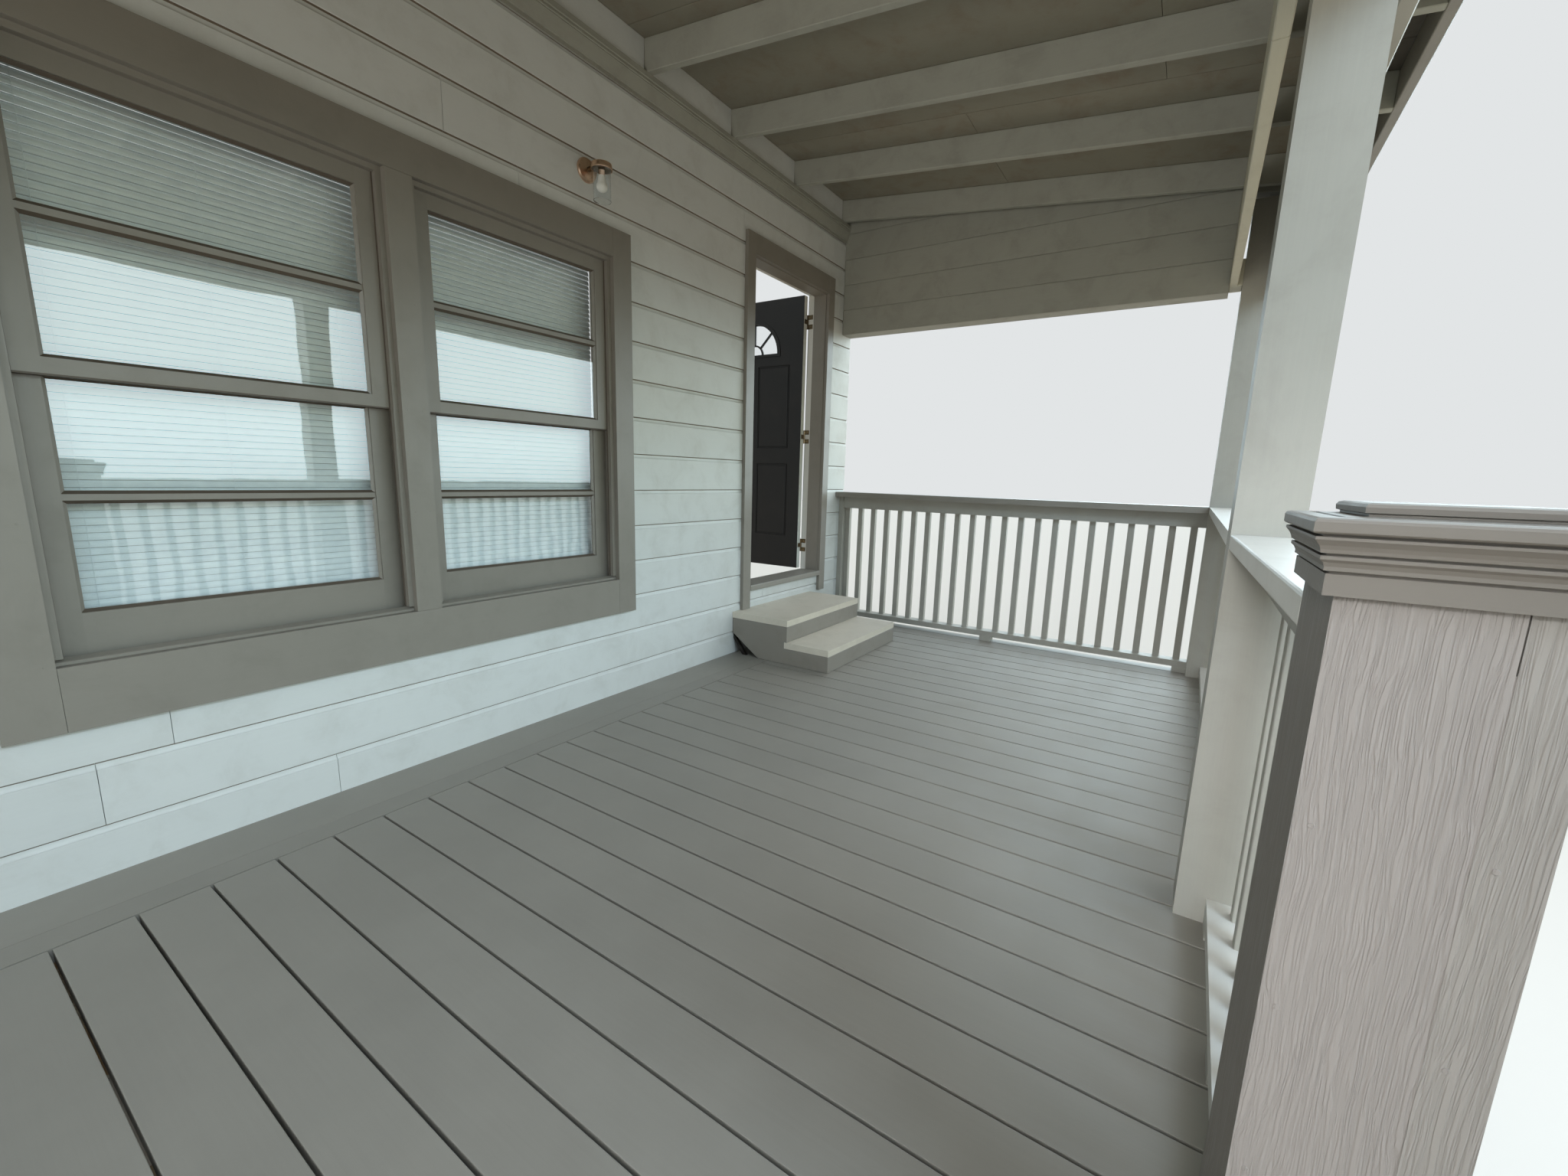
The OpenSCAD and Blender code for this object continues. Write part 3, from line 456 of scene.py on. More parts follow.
def settle(part, faces, ease, segments, finish, tint):
    # Gives new faces their finish and own number, then rounds their sharp edges
    number = draw.random() if tint is None else tint
    tintLayer = part.faces.layers.float["tint"]
    wornLayer = part.faces.layers.float["worn"]
    for face in faces:
        face[tintLayer] = number
        face.material_index = finish
    if ease <= 0:
        return
    edges = dict.fromkeys(edge for face in faces for edge in face.edges
                          if edge.is_manifold and edge.calc_face_angle(0) > math.radians(25))
    made = bmesh.ops.bevel(part, geom=list(edges), offset=ease, offset_type="OFFSET", segments=segments,
                           profile=0.5, affect="EDGES", clamp_overlap=True)
    for face in made["faces"]:
        face[wornLayer] = 1.0
        face[tintLayer] = number
        face.material_index = finish


def addBlock(part, lo, hi, ease=0.002, segments=1, finish=0, tint=None):
    lo, hi = [min(a, b) for a, b in zip(lo, hi)], [max(a, b) for a, b in zip(lo, hi)]
    corners = [part.verts.new((x, y, z)) for x in (lo[0], hi[0]) for y in (lo[1], hi[1])
               for z in (lo[2], hi[2])]
    sides = ((0, 1, 3, 2), (4, 6, 7, 5), (0, 4, 5, 1), (2, 3, 7, 6), (0, 2, 6, 4), (1, 5, 7, 3))
    faces = [part.faces.new([corners[index] for index in side]) for side in sides]
    settle(part, faces, ease, segments, finish, tint)


def addPrism(part, outline, start, end, run="x", ease=0.002, segments=1, finish=0, tint=None):
    # An outline in the other two directions, run along x, y or z
    spots = {"x": lambda a, b, c: (c, a, b), "y": lambda a, b, c: (a, c, b), "z": lambda a, b, c: (a, b, c)}
    rings = [[part.verts.new(spots[run](a, b, c)) for a, b in outline] for c in (start, end)]
    count = len(outline)
    faces = [part.faces.new(rings[0]), part.faces.new(rings[1])]
    for index in range(count):
        after = (index + 1) % count
        faces.append(part.faces.new((rings[0][index], rings[0][after], rings[1][after], rings[1][index])))
    bmesh.ops.recalc_face_normals(part, faces=faces)
    settle(part, faces, ease, segments, finish, tint)


def addTurned(part, profile, centre, axis, segments=48, finish=0, tint=0.5):
    # A profile of radius and height pairs, turned about an axis through the centre
    turn = Vector((0, 0, 1)).rotation_difference(Vector(axis)).to_matrix().to_4x4()
    place = Matrix.Translation(centre) @ turn
    rings = []
    for radius, height in profile:
        if radius < 1e-6:
            rings.append([part.verts.new(place @ Vector((0, 0, height)))])
            continue
        around = [2 * math.pi * step / segments for step in range(segments)]
        rings.append([part.verts.new(place @ Vector((radius * math.cos(a), radius * math.sin(a), height)))
                      for a in around])
    faces = []
    for low, high in zip(rings, rings[1:]):
        for step in range(segments):
            after = (step + 1) % segments
            corners = [low[step % len(low)], low[after % len(low)], high[after % len(high)],
                       high[step % len(high)]]
            corners = list(dict.fromkeys(corners))
            if len(corners) > 2:
                faces.append(part.faces.new(corners))
    bmesh.ops.recalc_face_normals(part, faces=faces)
    settle(part, faces, 0, 0, finish, tint)


def addMesh(part, mesh, finish=0):
    # Takes a plain mesh in, with its own numbers, and gives it a finish
    before = len(part.faces)
    part.from_mesh(mesh)
    part.faces.ensure_lookup_table()
    for face in part.faces[before:]:
        face.material_index = finish
        face.smooth = False
    bpy.data.meshes.remove(mesh)


def trimPart(part, point, outward):
    # Cuts a part off at a plane and closes the cuts
    everything = part.verts[:] + part.edges[:] + part.faces[:]
    bmesh.ops.bisect_plane(part, geom=everything, dist=1e-6, plane_co=point, plane_no=outward,
                           clear_outer=True)
    rim = [edge for edge in part.edges if edge.is_boundary]
    bmesh.ops.holes_fill(part, edges=rim, sides=0)


def cutAt(axis, value, way):
    # A plane across one axis; what lies on its way side is cut off
    unit = Vector([float(axis == name) for name in "xyz"])
    return unit * value, unit * way


def slicedNode(node, ease=0.0015, finish=0, cuts=None):
    # A copy of a CAD node with flat faces made whole; cuts are plane pairs that keep what is between
    part = newPart()
    part.from_mesh(cadNodes[node].data)
    bmesh.ops.remove_doubles(part, verts=part.verts, dist=1e-5)
    bmesh.ops.dissolve_limit(part, angle_limit=math.radians(0.5), verts=part.verts, edges=part.edges)
    for point, outward in cuts or ():
        trimPart(part, point, outward)
    bmesh.ops.recalc_face_normals(part, faces=part.faces)
    settle(part, part.faces[:], ease, 1, finish, None)
    return part


def joinPart(part, other):
    mesh = bpy.data.meshes.new("loose")
    other.to_mesh(mesh)
    other.free()
    keep = [face.material_index for face in part.faces]
    before = len(keep)
    part.from_mesh(mesh)
    part.faces.ensure_lookup_table()
    for index, value in enumerate(keep):
        part.faces[index].material_index = value
    for index in range(before, len(part.faces)):
        part.faces[index].material_index = mesh.polygons[index - before].material_index
    bpy.data.meshes.remove(mesh)


def closePart(part, name, finishes, replaced=(), body="porch", smooth=False):
    # Turns the part into a finished piece that rides on a body
    mesh = bpy.data.meshes.new(name)
    part.to_mesh(mesh)
    part.free()
    for material in finishes:
        mesh.materials.append(material)
    if smooth:
        mesh.shade_smooth()
        mesh.set_sharp_from_angle(angle=math.radians(35))
    piece = bpy.data.objects.new(name, mesh)
    bpy.context.scene.collection.objects.link(piece)
    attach(piece, body)
    if replaced:
        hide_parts(*replaced)
    return piece


def finishNode(node, material):
    # A CAD node that stays, with its own finish
    mesh = cadNodes[node].data
    mesh.materials.clear()
    mesh.materials.append(material)


def geometryTree(name, inputs):
    graph = Graph(bpy.data.node_groups.new(name, "GeometryNodeTree"))
    return graph, *graph.ends(inputs, {"Geometry": "Geometry"})


def swept(graph, outline, length):
    # An outline run straight up, with both ends closed
    reach = graph.add("ShaderNodeCombineXYZ", {"Z": length}).outputs[0]
    line = graph.add("GeometryNodeCurvePrimitiveLine", {"End": reach}).outputs[0]
    return graph.add("GeometryNodeCurveToMesh", {"Curve": line, "Profile Curve": outline, "Fill Caps": True})


def rotation(graph, euler):
    return graph.add("FunctionNodeEulerToRotation", {"Euler": euler}).outputs[0]


def lay(graph, source, sink, places):
    # Sets one shape on many points; the faces of each copy carry its own number as tint
    laid = graph.add("GeometryNodeInstanceOnPoints", places).outputs[0]
    value = graph.add("FunctionNodeRandomValue", data_type="FLOAT")
    graph.feed(value.inputs["Seed"], source["Seed"])
    stored = graph.add("GeometryNodeStoreNamedAttribute", {"Geometry": laid, "Name": "lot"},
                       data_type="FLOAT", domain="INSTANCE")
    graph.feed(stored.inputs["Value"], value.outputs[1])
    real = graph.add("GeometryNodeRealizeInstances", {"Geometry": stored.outputs[0]})
    lot = graph.add("GeometryNodeInputNamedAttribute", {"Name": "lot"}, data_type="FLOAT")
    tinted = graph.add("GeometryNodeStoreNamedAttribute", {"Geometry": real.outputs[0], "Name": "tint"},
                       data_type="FLOAT", domain="FACE")
    graph.feed(tinted.inputs["Value"], lot.outputs[0])
    dropped = graph.add("GeometryNodeRemoveAttribute", {"Geometry": tinted.outputs[0], "Name": "lot"})
    dressed = graph.add("GeometryNodeSetMaterial", {"Geometry": dropped.outputs[0],
                                                    "Material": source["Finish"]})
    graph.feed(sink["Geometry"], dressed.outputs[0])
    return graph.tree


def laidBarsTree():
    # Rows of bars with eased long edges; every second row may be staggered
    graph, source, sink = geometryTree("laidBars", {
        "Count": 10, "Rows": 1, "Start": (0, 0, 0),
        "Step": (0.1, 0, 0), "Row Step": (0, 0, 0), "Stagger": (0, 0, 0),
        "Width": 0.1, "Depth": 0.04, "Length": 1.0, "Edge": 0.002,
        "Turn": (0, 0, 0), "Shake": (0, 0, 0), "Seed": 1,
        "Finish": "Material"})
    outline = graph.add("GeometryNodeCurvePrimitiveQuadrilateral", {"Width": source["Width"],
                        "Height": source["Depth"]})
    rounded = graph.add("GeometryNodeFilletCurve", {"Curve": outline.outputs[0], "Count": 2,
                        "Radius": source["Edge"], "Limit Radius": True}, mode="POLY")
    straight = swept(graph, rounded.outputs[0], source["Length"])
    bar = graph.add("GeometryNodeTransform", {"Geometry": straight.outputs[0],
                                              "Rotation": rotation(graph, source["Turn"])})
    total = graph.times(source["Count"], source["Rows"])
    points = graph.add("GeometryNodeMeshLine", {"Count": total, "Offset": (0, 0, 0)})
    index = graph.add("GeometryNodeInputIndex").outputs[0]
    row = graph.maths("FLOOR", graph.maths("DIVIDE", index, source["Count"]))
    column = graph.minus(index, graph.times(row, source["Count"]))
    odd = graph.maths("MODULO", row, 2.0)

    def scaled(vector, value):
        node = graph.add("ShaderNodeVectorMath", {"Vector": vector, "Scale": value}, operation="SCALE")
        return node.outputs[0]

    place = graph.vector("ADD", source["Start"], scaled(source["Step"], column))
    place = graph.vector("ADD", place, scaled(source["Row Step"], row))
    place = graph.vector("ADD", place, scaled(source["Stagger"], odd))
    shaken = graph.add("FunctionNodeRandomValue", data_type="FLOAT_VECTOR")
    graph.feed(shaken.inputs[1], source["Shake"])
    graph.feed(shaken.inputs["Seed"], source["Seed"])
    place = graph.vector("ADD", place, shaken.outputs[0])
    moved = graph.add("GeometryNodeSetPosition", {"Geometry": points.outputs[0], "Position": place})
    return lay(graph, source, sink, {"Points": moved.outputs[0], "Instance": bar.outputs[0]})


def slatStackTree():
    # Thin curved slats, one over the other, all tilted alike
    graph, source, sink = geometryTree("slatStack", {
        "Count": 60, "Start": (0, 0, 0), "Pitch": 0.021,
        "Length": 0.8, "Slat Width": 0.025, "Thickness": 0.0006,
        "Camber": 0.002, "Tilt": 1.1, "Sway": 0.05, "Seed": 3,
        "Finish": "Material"})
    flat = graph.add("GeometryNodeCurvePrimitiveQuadrilateral", {"Width": source["Slat Width"],
                     "Height": source["Thickness"]})
    parts = graph.add("GeometryNodeSubdivideCurve", {"Curve": flat.outputs[0], "Cuts": 3})
    spot = graph.add("ShaderNodeSeparateXYZ", {"Vector": graph.add("GeometryNodeInputPosition").outputs[0]})
    share = graph.maths("DIVIDE", spot.outputs[0], graph.times(source["Slat Width"], 0.5))
    fall = graph.times(graph.times(share, share), source["Camber"])
    lower = graph.add("ShaderNodeCombineXYZ", {"Y": graph.times(fall, -1.0)}).outputs[0]
    bent = graph.add("GeometryNodeSetPosition", {"Geometry": parts.outputs[0], "Offset": lower})
    straight = swept(graph, bent.outputs[0], source["Length"])
    lying = rotation(graph, (math.pi / 2, 0, math.pi / 2))
    slat = graph.add("GeometryNodeTransform", {"Geometry": straight.outputs[0], "Rotation": lying})
    rise = graph.add("ShaderNodeCombineXYZ", {"Z": source["Pitch"]}).outputs[0]
    points = graph.add("GeometryNodeMeshLine", {"Count": source["Count"], "Start Location": source["Start"],
                       "Offset": rise})
    swing = graph.add("FunctionNodeRandomValue", {"Seed": source["Seed"]}, data_type="FLOAT")
    graph.feed(swing.inputs[2], graph.times(source["Sway"], -1.0))
    graph.feed(swing.inputs[3], source["Sway"])
    angle = graph.plus(source["Tilt"], swing.outputs[1])
    euler = graph.add("ShaderNodeCombineXYZ", {"X": angle}).outputs[0]
    return lay(graph, source, sink, {"Points": points.outputs[0], "Instance": slat.outputs[0],
                                     "Rotation": rotation(graph, euler)})


def fastenerTree():
    # Round heads on given points, all facing one way
    graph, source, sink = geometryTree("fastenerHeads", {
        "Spots": "Object", "Radius": 0.004, "Stand": 0.0008,
        "Turn": (0, 0, 0), "Seed": 5, "Finish": "Material"})
    spots = graph.add("GeometryNodeObjectInfo", {"Object": source["Spots"]}).outputs["Geometry"]
    cone = graph.add("GeometryNodeMeshCone", {"Vertices": 10, "Side Segments": 1,
                     "Radius Top": graph.times(source["Radius"], 0.7),
                     "Radius Bottom": source["Radius"],
                     "Depth": graph.times(source["Stand"], 2.0)})
    sunk = graph.add("ShaderNodeCombineXYZ", {"Z": graph.times(source["Stand"], -1.0)}).outputs[0]
    head = graph.add("GeometryNodeTransform", {"Geometry": cone.outputs["Mesh"], "Translation": sunk})
    return lay(graph, source, sink, {"Points": spots, "Instance": head.outputs[0],
                                     "Rotation": rotation(graph, source["Turn"])})


laidBars = laidBarsTree()
slatStack = slatStackTree()
fastenerHeads = fastenerTree()


def grown(tree, values):
    # Runs a geometry tree with these inputs and returns its plain mesh
    holder = bpy.data.objects.new("holder", bpy.data.meshes.new("holder"))
    bpy.context.scene.collection.objects.link(holder)
    modifier = holder.modifiers.new("grow", "NODES")
    modifier.node_group = tree
    sockets = {item.name: item for item in tree.interface.items_tree if item.in_out == "INPUT"}
    for name, value in values.items():
        modifier[sockets[name].identifier] = value
    bpy.context.view_layer.update()
    depsgraph = bpy.context.evaluated_depsgraph_get()
    mesh = bpy.data.meshes.new_from_object(holder.evaluated_get(depsgraph))
    bpy.data.objects.remove(holder)
    return mesh


def addHeads(part, spots, turn, radius=0.004, stand=0.0008, finish=0, seed=5):
    # Screw or nail heads at a list of places
    cloud = bpy.data.meshes.new("spots")
    cloud.from_pydata(spots, [], [])
    holder = bpy.data.objects.new("spots", cloud)
    bpy.context.scene.collection.objects.link(holder)
    mesh = grown(fastenerHeads, {"Spots": holder, "Radius": radius, "Stand": stand, "Turn": turn,
                                 "Seed": seed})
    bpy.data.objects.remove(holder)
    addMesh(part, mesh, finish)


upward = (0, 0, 1)
headUp = (0.0, 0.0, 0.0)
headOut = (math.pi / 2, 0.0, 0.0)
headIn = (-math.pi / 2, 0.0, 0.0)
headLeft = (0.0, -math.pi / 2, 0.0)
headRight = (0.0, math.pi / 2, 0.0)

print("House wall")

sidingBoards = {"course": 0.183, "firstLine": 0.745, "cove": 0.021, "coveDepth": 0.0068, "backing": 0.012,
                "drip": 0.0015, "lipDepth": 0.0012, "lipRise": 0.0004, "jointGap": 0.0016,
                "boardLength": 3.0, "leastEnd": 0.02, "seenJoint": -1.635, "coveShadeShare": 0.97}


def sidingDepth(height):
    # How far the face lies back at a height above the course's lower edge
    spec = sidingBoards
    if height < spec["drip"]:
        return spec["drip"] - height
    above = spec["course"] - height
    if above >= spec["cove"]:
        return 0.0
    return spec["coveDepth"] * math.sqrt(max(0.0, 1 - (above / spec["cove"]) ** 2))


def sidingOutline(base, low, high):
    # The cross section of one course between two heights, in y and z
    spec = sidingBoards
    cove = spec["course"] - spec["cove"]
    knots = [0.0, spec["drip"], cove]
    knots += [spec["course"] - spec["cove"] * math.cos(math.radians(a)) for a in range(6, 91, 12)]
    heights = sorted({low - base, high - base, *[k for k in knots if low - base < k < high - base]})
    front = []
    for height in heights:
        front.append((sidingFace + sidingDepth(height), base + height))
        if height == cove and low - base < cove < high - base:
            front.append((sidingFace + spec["lipDepth"], base + cove + spec["lipRise"]))
    back = sidingFace + spec["backing"]
    return front + [(back, high), (back, low)]


def buildWall():
    spec = sidingBoards
    names = ["wall_left", "wall_at_windows", "wall_middle", "wall_at_door", "wall_right"]
    core = newPart()
    for name in names:
        for lo, hi in solidsOf(name):
            addBlock(core, (lo.x, lo.y + spec["backing"], lo.z), (hi.x, hi.y, hi.z), 0)
    closePart(core, "wall_core", paintedIn("inside z"))
    holes = []
    for lo, hi in (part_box("window_frame"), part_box("door_frame")):
        bottom = lo.z if lo.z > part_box("threshold")[1].z + 0.01 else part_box("threshold")[0].z
        holes.append((lo.x, hi.x, bottom, hi.z))
    boards = newPart()
    base = spec["firstLine"] - spec["course"] * math.ceil((spec["firstLine"] - footTop) / spec["course"])
    while base < wallTop:
        low, high = max(base, footTop), min(base + spec["course"], wallTop)
        bands = {low, high}
        for _, _, bottom, top in holes:
            bands |= {edge for edge in (bottom, top) if low < edge < high}
        bands = sorted(bands)
        joint = wallLeft + draw.uniform(0.8, 2.6)
        if abs(base - spec["firstLine"]) < 0.001:
            joint = spec["seenJoint"]
        joints = [joint + spec["boardLength"] * step for step in range(3)]
        tints = [draw.random() for _ in range(5)]
        for bottom, top in zip(bands, bands[1:]):
            middle = (bottom + top) / 2
            spans = [(wallLeft, wallRight)]
            for left, right, sill, head in holes:
                if sill < middle < head:
                    spans = [piece for a, b in spans for piece in ((a, min(b, left)), (max(a, right), b))
                             if piece[1] > piece[0]]
            for a, b in spans:
                least = spec["leastEnd"]
                edges = [a] + [j for j in joints if a + least < j < b - least] + [b]
                for index, (start, end) in enumerate(zip(edges, edges[1:])):
                    half = spec["jointGap"] / 2
                    start += half if index else 0
                    end -= half if index < len(edges) - 2 else 0
                    tint = tints[sum(1 for j in joints if j < (start + end) / 2)]
                    addPrism(boards, sidingOutline(base, bottom, top), start, end, "x", 0, 1, 0, tint)
        base += spec["course"]
    # Painted shade with some dirt: the deepest faces of each cove, just under the next board's edge, take
    # the darker cove paint
    for face in boards.faces:
        depth = face.calc_center_median().y - sidingFace
        if spec["coveShadeShare"] < depth / spec["coveDepth"] < 1 and abs(face.normal.x) < 0.5:
            face.material_index = 1
    closePart(boards, "wall_siding", paintedIn("siding x", "soot x"), names)


buildWall()

footingBlocks = {"length": 0.39, "height": 0.14, "joint": 0.01, "face": 0.008, "edge": 0.004}


def buildFooting():
    spec = footingBlocks
    lo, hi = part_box("footing_wall")
    part = newPart()
    addBlock(part, (lo.x, lo.y + spec["face"], lo.z), (hi.x, hi.y - spec["face"], hi.z), 0, 1, 1)
    pitch = spec["length"] + spec["joint"]
    rows = round((hi.z - lo.z) / (spec["height"] + spec["joint"]))
    rise = (hi.z - lo.z) / rows
    count = math.ceil((hi.x - lo.x) / pitch) + 1
    mesh = grown(laidBars, {"Count": count, "Rows": rows, "Step": (pitch, 0.0, 0.0),
                 "Start": (lo.x - pitch / 2, (lo.y + hi.y) / 2, lo.z + rise / 2),
                 "Row Step": (0.0, 0.0, rise), "Stagger": (pitch / 2, 0.0, 0.0),
                 "Width": hi.y - lo.y, "Depth": rise - spec["joint"], "Length": spec["length"],
                 "Edge": spec["edge"], "Turn": (math.pi / 2, 0.0, math.pi / 2), "Seed": 11})
    blocks = newPart()
    addMesh(blocks, mesh)
    trimPart(blocks, *cutAt("x", lo.x, -1))
    trimPart(blocks, *cutAt("x", hi.x, 1))
    joinPart(part, blocks)
    closePart(part, "foundation_blocks", [blockwork, mortar], ["footing_wall"])


buildFooting()

print("Windows")

windowTrim = {"ease": 0.0016, "seam": 0.0008, "nailInset": 0.02, "nailPitch": 0.4, "nailRadius": 0.003,
              "nailStand": 0.0005}
sashPanes = solidsOf("window_glass")
sashFrames = solidsOf("window_sashes")
blindBoxes = solidsOf("window_blinds")


def buildWindowCasing():
    spec = windowTrim
    ease, seam, inset = spec["ease"], spec["seam"], spec["nailInset"]
    lo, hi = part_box("window_casing")
    openings = sorted({(round(pair[0].x, 4), round(pair[1].x, 4)) for pair in sashFrames})
    sill = min(pair[0].z for pair in sashFrames)
    head = max(pair[1].z for pair in sashFrames)
    (leftEdge, innerLeft), (innerRight, rightEdge) = openings
    part = newPart()
    addBlock(part, lo, (leftEdge, hi.y, hi.z), ease)
    addBlock(part, (rightEdge, lo.y, lo.z), hi, ease)
    left, right = leftEdge + seam, rightEdge - seam
    addBlock(part, (left, lo.y, head), (right, hi.y, hi.z), ease, 1, 1)
    addBlock(part, (left, lo.y, lo.z), (right, hi.y, sill), ease, 1, 1)
    addBlock(part, (innerLeft, lo.y, sill + seam), (innerRight, hi.y, head - seam), ease)
    spots = []
    rows = round((hi.z - lo.z) / spec["nailPitch"])
    for number, edge in enumerate((lo.x, leftEdge, innerLeft, innerRight, rightEdge, hi.x)):
        x = edge - inset if number % 2 else edge + inset
        spots += [(x, lo.y, lo.z + (hi.z - lo.z) * (row + 0.5) / rows) for row in range(rows)]
    addHeads(part, spots, headOut, spec["nailRadius"], spec["nailStand"])
    closePart(part, "window_casing_boards", paintedIn("trim z", "trim x"), ["window_casing"])
    return openings, sill, head


windowOpenings, windowSill, windowHead = buildWindowCasing()

windowJoinery = {"stop": 0.018, "stopDepth": 0.024, "stopSlope": 0.55, "ease": 0.0012, "muntin": 0.017,
                 "muntinSet": 0.006, "line": 0.003, "linePast": 0.0006, "puttyWide": 0.009,
                 "puttyDeep": 0.008, "upperShare": 0.52, "lowerShare": 0.5}


def buildWindowFrame():
    spec = windowJoinery
    lo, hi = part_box("window_frame")
    part = newPart()
    stop, back, ease, line = spec["stop"], lo.y + spec["stopDepth"], spec["ease"], spec["line"]
    low, high = windowSill + stop, windowHead - stop
    posts = [(lo.x, windowOpenings[0][0]), (windowOpenings[0][1], windowOpenings[1][0]),
             (windowOpenings[1][1], hi.x)]
    for left, right in posts:
        addBlock(part, (left, lo.y, lo.z), (right, hi.y, hi.z), ease)
    for left, right in windowOpenings:
        addBlock(part, (left, lo.y, windowHead), (right, hi.y, hi.z), ease, 1, 1)
        addBlock(part, (left, lo.y, lo.z), (right, hi.y, windowSill), ease, 1, 1)
        addBlock(part, (left, lo.y, high), (right, back, windowHead), ease, 1, 1)
        sloped = [(lo.y, windowSill), (back, windowSill), (back, low),
                  (lo.y, windowSill + stop * spec["stopSlope"])]
        addPrism(part, sloped, left, right, "x", ease, 1, 1)
        for x, way in ((left, 1), (right, -1)):
            addBlock(part, (x, lo.y, low), (x + way * stop, back, high), ease)
            # Thin strips in the dark line paint beside the stops: painted shade in the gaps by the sashes
            for edge, front in ((x + way * ease, lo.y + ease), (x + way * (stop + line * 0.5), back - line)):
                addBlock(part, (edge - line / 2, front - spec["linePast"], low),
                         (edge + line / 2, front + line, high), 0, 2, 2)
    closePart(part, "window_jambs", paintedIn("trim z", "trim x", "putty z"), ["window_frame"])


def buildSashes():
    # Four rails and stiles round each pane, one muntin bar, and putty lines with a slanted face; the putty
    # along rails and muntin is painted shade
    spec = windowJoinery
    ease, line, wide, deep = spec["ease"], spec["line"], spec["puttyWide"], spec["puttyDeep"]
    part = newPart()
    for lo, hi in sashFrames:
        paneLo, paneHi = [pane for pane in sashPanes if lo.x < pane[0].x < hi.x and lo.y < pane[0].y < hi.y
                          and lo.z < pane[0].z < hi.z][0]
        upper = hi.z > windowHead - 0.01
        addBlock(part, lo, (paneLo.x, hi.y, hi.z), ease)
        addBlock(part, (paneHi.x, lo.y, lo.z), hi, ease)
        addBlock(part, (paneLo.x, lo.y, paneHi.z), (paneHi.x, hi.y, hi.z), ease, 1, 1)
        addBlock(part, (paneLo.x, lo.y, lo.z), (paneHi.x, hi.y, paneLo.z), ease, 1, 1)
        # A strip in the dark line paint under the meeting rail: painted shade
        if upper:
            addBlock(part, (lo.x, lo.y + ease, lo.z - line * 1.6), (hi.x, hi.y, lo.z), 0, 2, 2)
        share = spec["upperShare"] if upper else spec["lowerShare"]
        middle = paneLo.z + (paneHi.z - paneLo.z) * share
        half = spec["muntin"] / 2
        addBlock(part, (paneLo.x, lo.y + spec["muntinSet"], middle - half),
                 (paneHi.x, hi.y - spec["muntinSet"], middle + half), ease, 1, 1)
        face = paneLo.y
        # The putty over and under each pane's bars takes the dark line paint as painted shade; the putty up
        # the sides keeps the trim paint
        for bottom, top in ((paneLo.z, middle - half), (middle + half, paneHi.z)):
            for edge, way in ((bottom, 1), (top, -1)):
                outline = [(face, edge), (face, edge + way * wide), (face - deep, edge)]
                addPrism(part, outline, paneLo.x, paneHi.x, "x", 0, 2, 2)
            for edge, way in ((paneLo.x, 1), (paneHi.x, -1)):
                outline = [(edge, face), (edge + way * wide, face), (edge, face - deep)]
                addPrism(part, outline, bottom, top, "z", 0)
    closePart(part, "sash_frames", paintedIn("trim z", "trim x", "putty x"), ["window_sashes"])


buildWindowFrame()
buildSashes()
finishNode("window_glass", windowGlass)

blinds = {"slatWidth": 0.0262, "slatPitch": 0.0205, "slatThick": 0.0006, "tilt": 1.12, "sway": 0.02,
          "camber": 0.0042, "shadedFrom": 0.4, "slatInset": 0.003, "railHeight": 0.026, "railEase": 0.001,
          "footHeight": 0.012, "footHalf": 0.007, "footEase": 0.002, "cordRadius": 0.0007,
          "cordInset": 0.002, "cordDown": 0.02, "cordShares": (0.12, 0.5, 0.88), "wandLength": 0.62,
          "wandRadius": 0.0035, "wandInset": 0.05, "wandBack": 0.004}


def buildBlinds():
    spec = blinds
    foot, cord, wand = spec["footHeight"], spec["cordRadius"], spec["wandRadius"]
    part = newPart()
    for number, (lo, hi) in enumerate(blindBoxes):
        middle = (lo.y + hi.y) / 2
        addBlock(part, (lo.x, lo.y, hi.z - spec["railHeight"]), hi, spec["railEase"])
        addBlock(part, (lo.x, middle - spec["footHalf"], lo.z),
                 (hi.x, middle + spec["footHalf"], lo.z + foot), spec["footEase"])
        reach = hi.z - lo.z - spec["railHeight"] - foot
        count = int(reach / spec["slatPitch"])
        mesh = grown(slatStack, {"Count": count, "Pitch": reach / count,
                     "Length": hi.x - lo.x - spec["slatInset"] * 2,
                     "Start": (lo.x + spec["slatInset"], middle, lo.z + foot + reach / count / 2),
                     "Slat Width": spec["slatWidth"], "Thickness": spec["slatThick"],
                     "Camber": spec["camber"], "Tilt": spec["tilt"], "Sway": spec["sway"],
                     "Seed": 20 + number})
        before = len(part.faces)
        addMesh(part, mesh)
        # Painted shade: the faces that lie under the next slat's lip take the darker slat material
        hidden = middle + spec["slatWidth"] * math.cos(spec["tilt"]) * spec["shadedFrom"] / 2
        for face in part.faces[before:]:
            if face.calc_center_median().y > hidden:
                face.material_index = 1
        cordTop = hi.z - spec["cordDown"]
        for share in spec["cordShares"]:
            for y in (lo.y + spec["cordInset"], hi.y - spec["cordInset"]):
                addTurned(part, [(0, lo.z), (cord, lo.z), (cord, cordTop), (0, cordTop)],
                          (lo.x + (hi.x - lo.x) * share, y, 0), upward, 6)
        wandTop = hi.z - spec["railHeight"]
        wandFoot = wandTop - spec["wandLength"]
        addTurned(part, [(0, wandFoot), (wand, wandFoot), (wand * 0.7, wandTop), (0, wandTop)],
                  (lo.x + spec["wandInset"], hi.y - spec["wandBack"], 0), upward, 8)
    closePart(part, "slatted_blinds", [blindVinyl, slatPaintedShade], ["window_blinds"])


buildBlinds()

insideCasing = {"ease": 0.002, "width": 0.07}


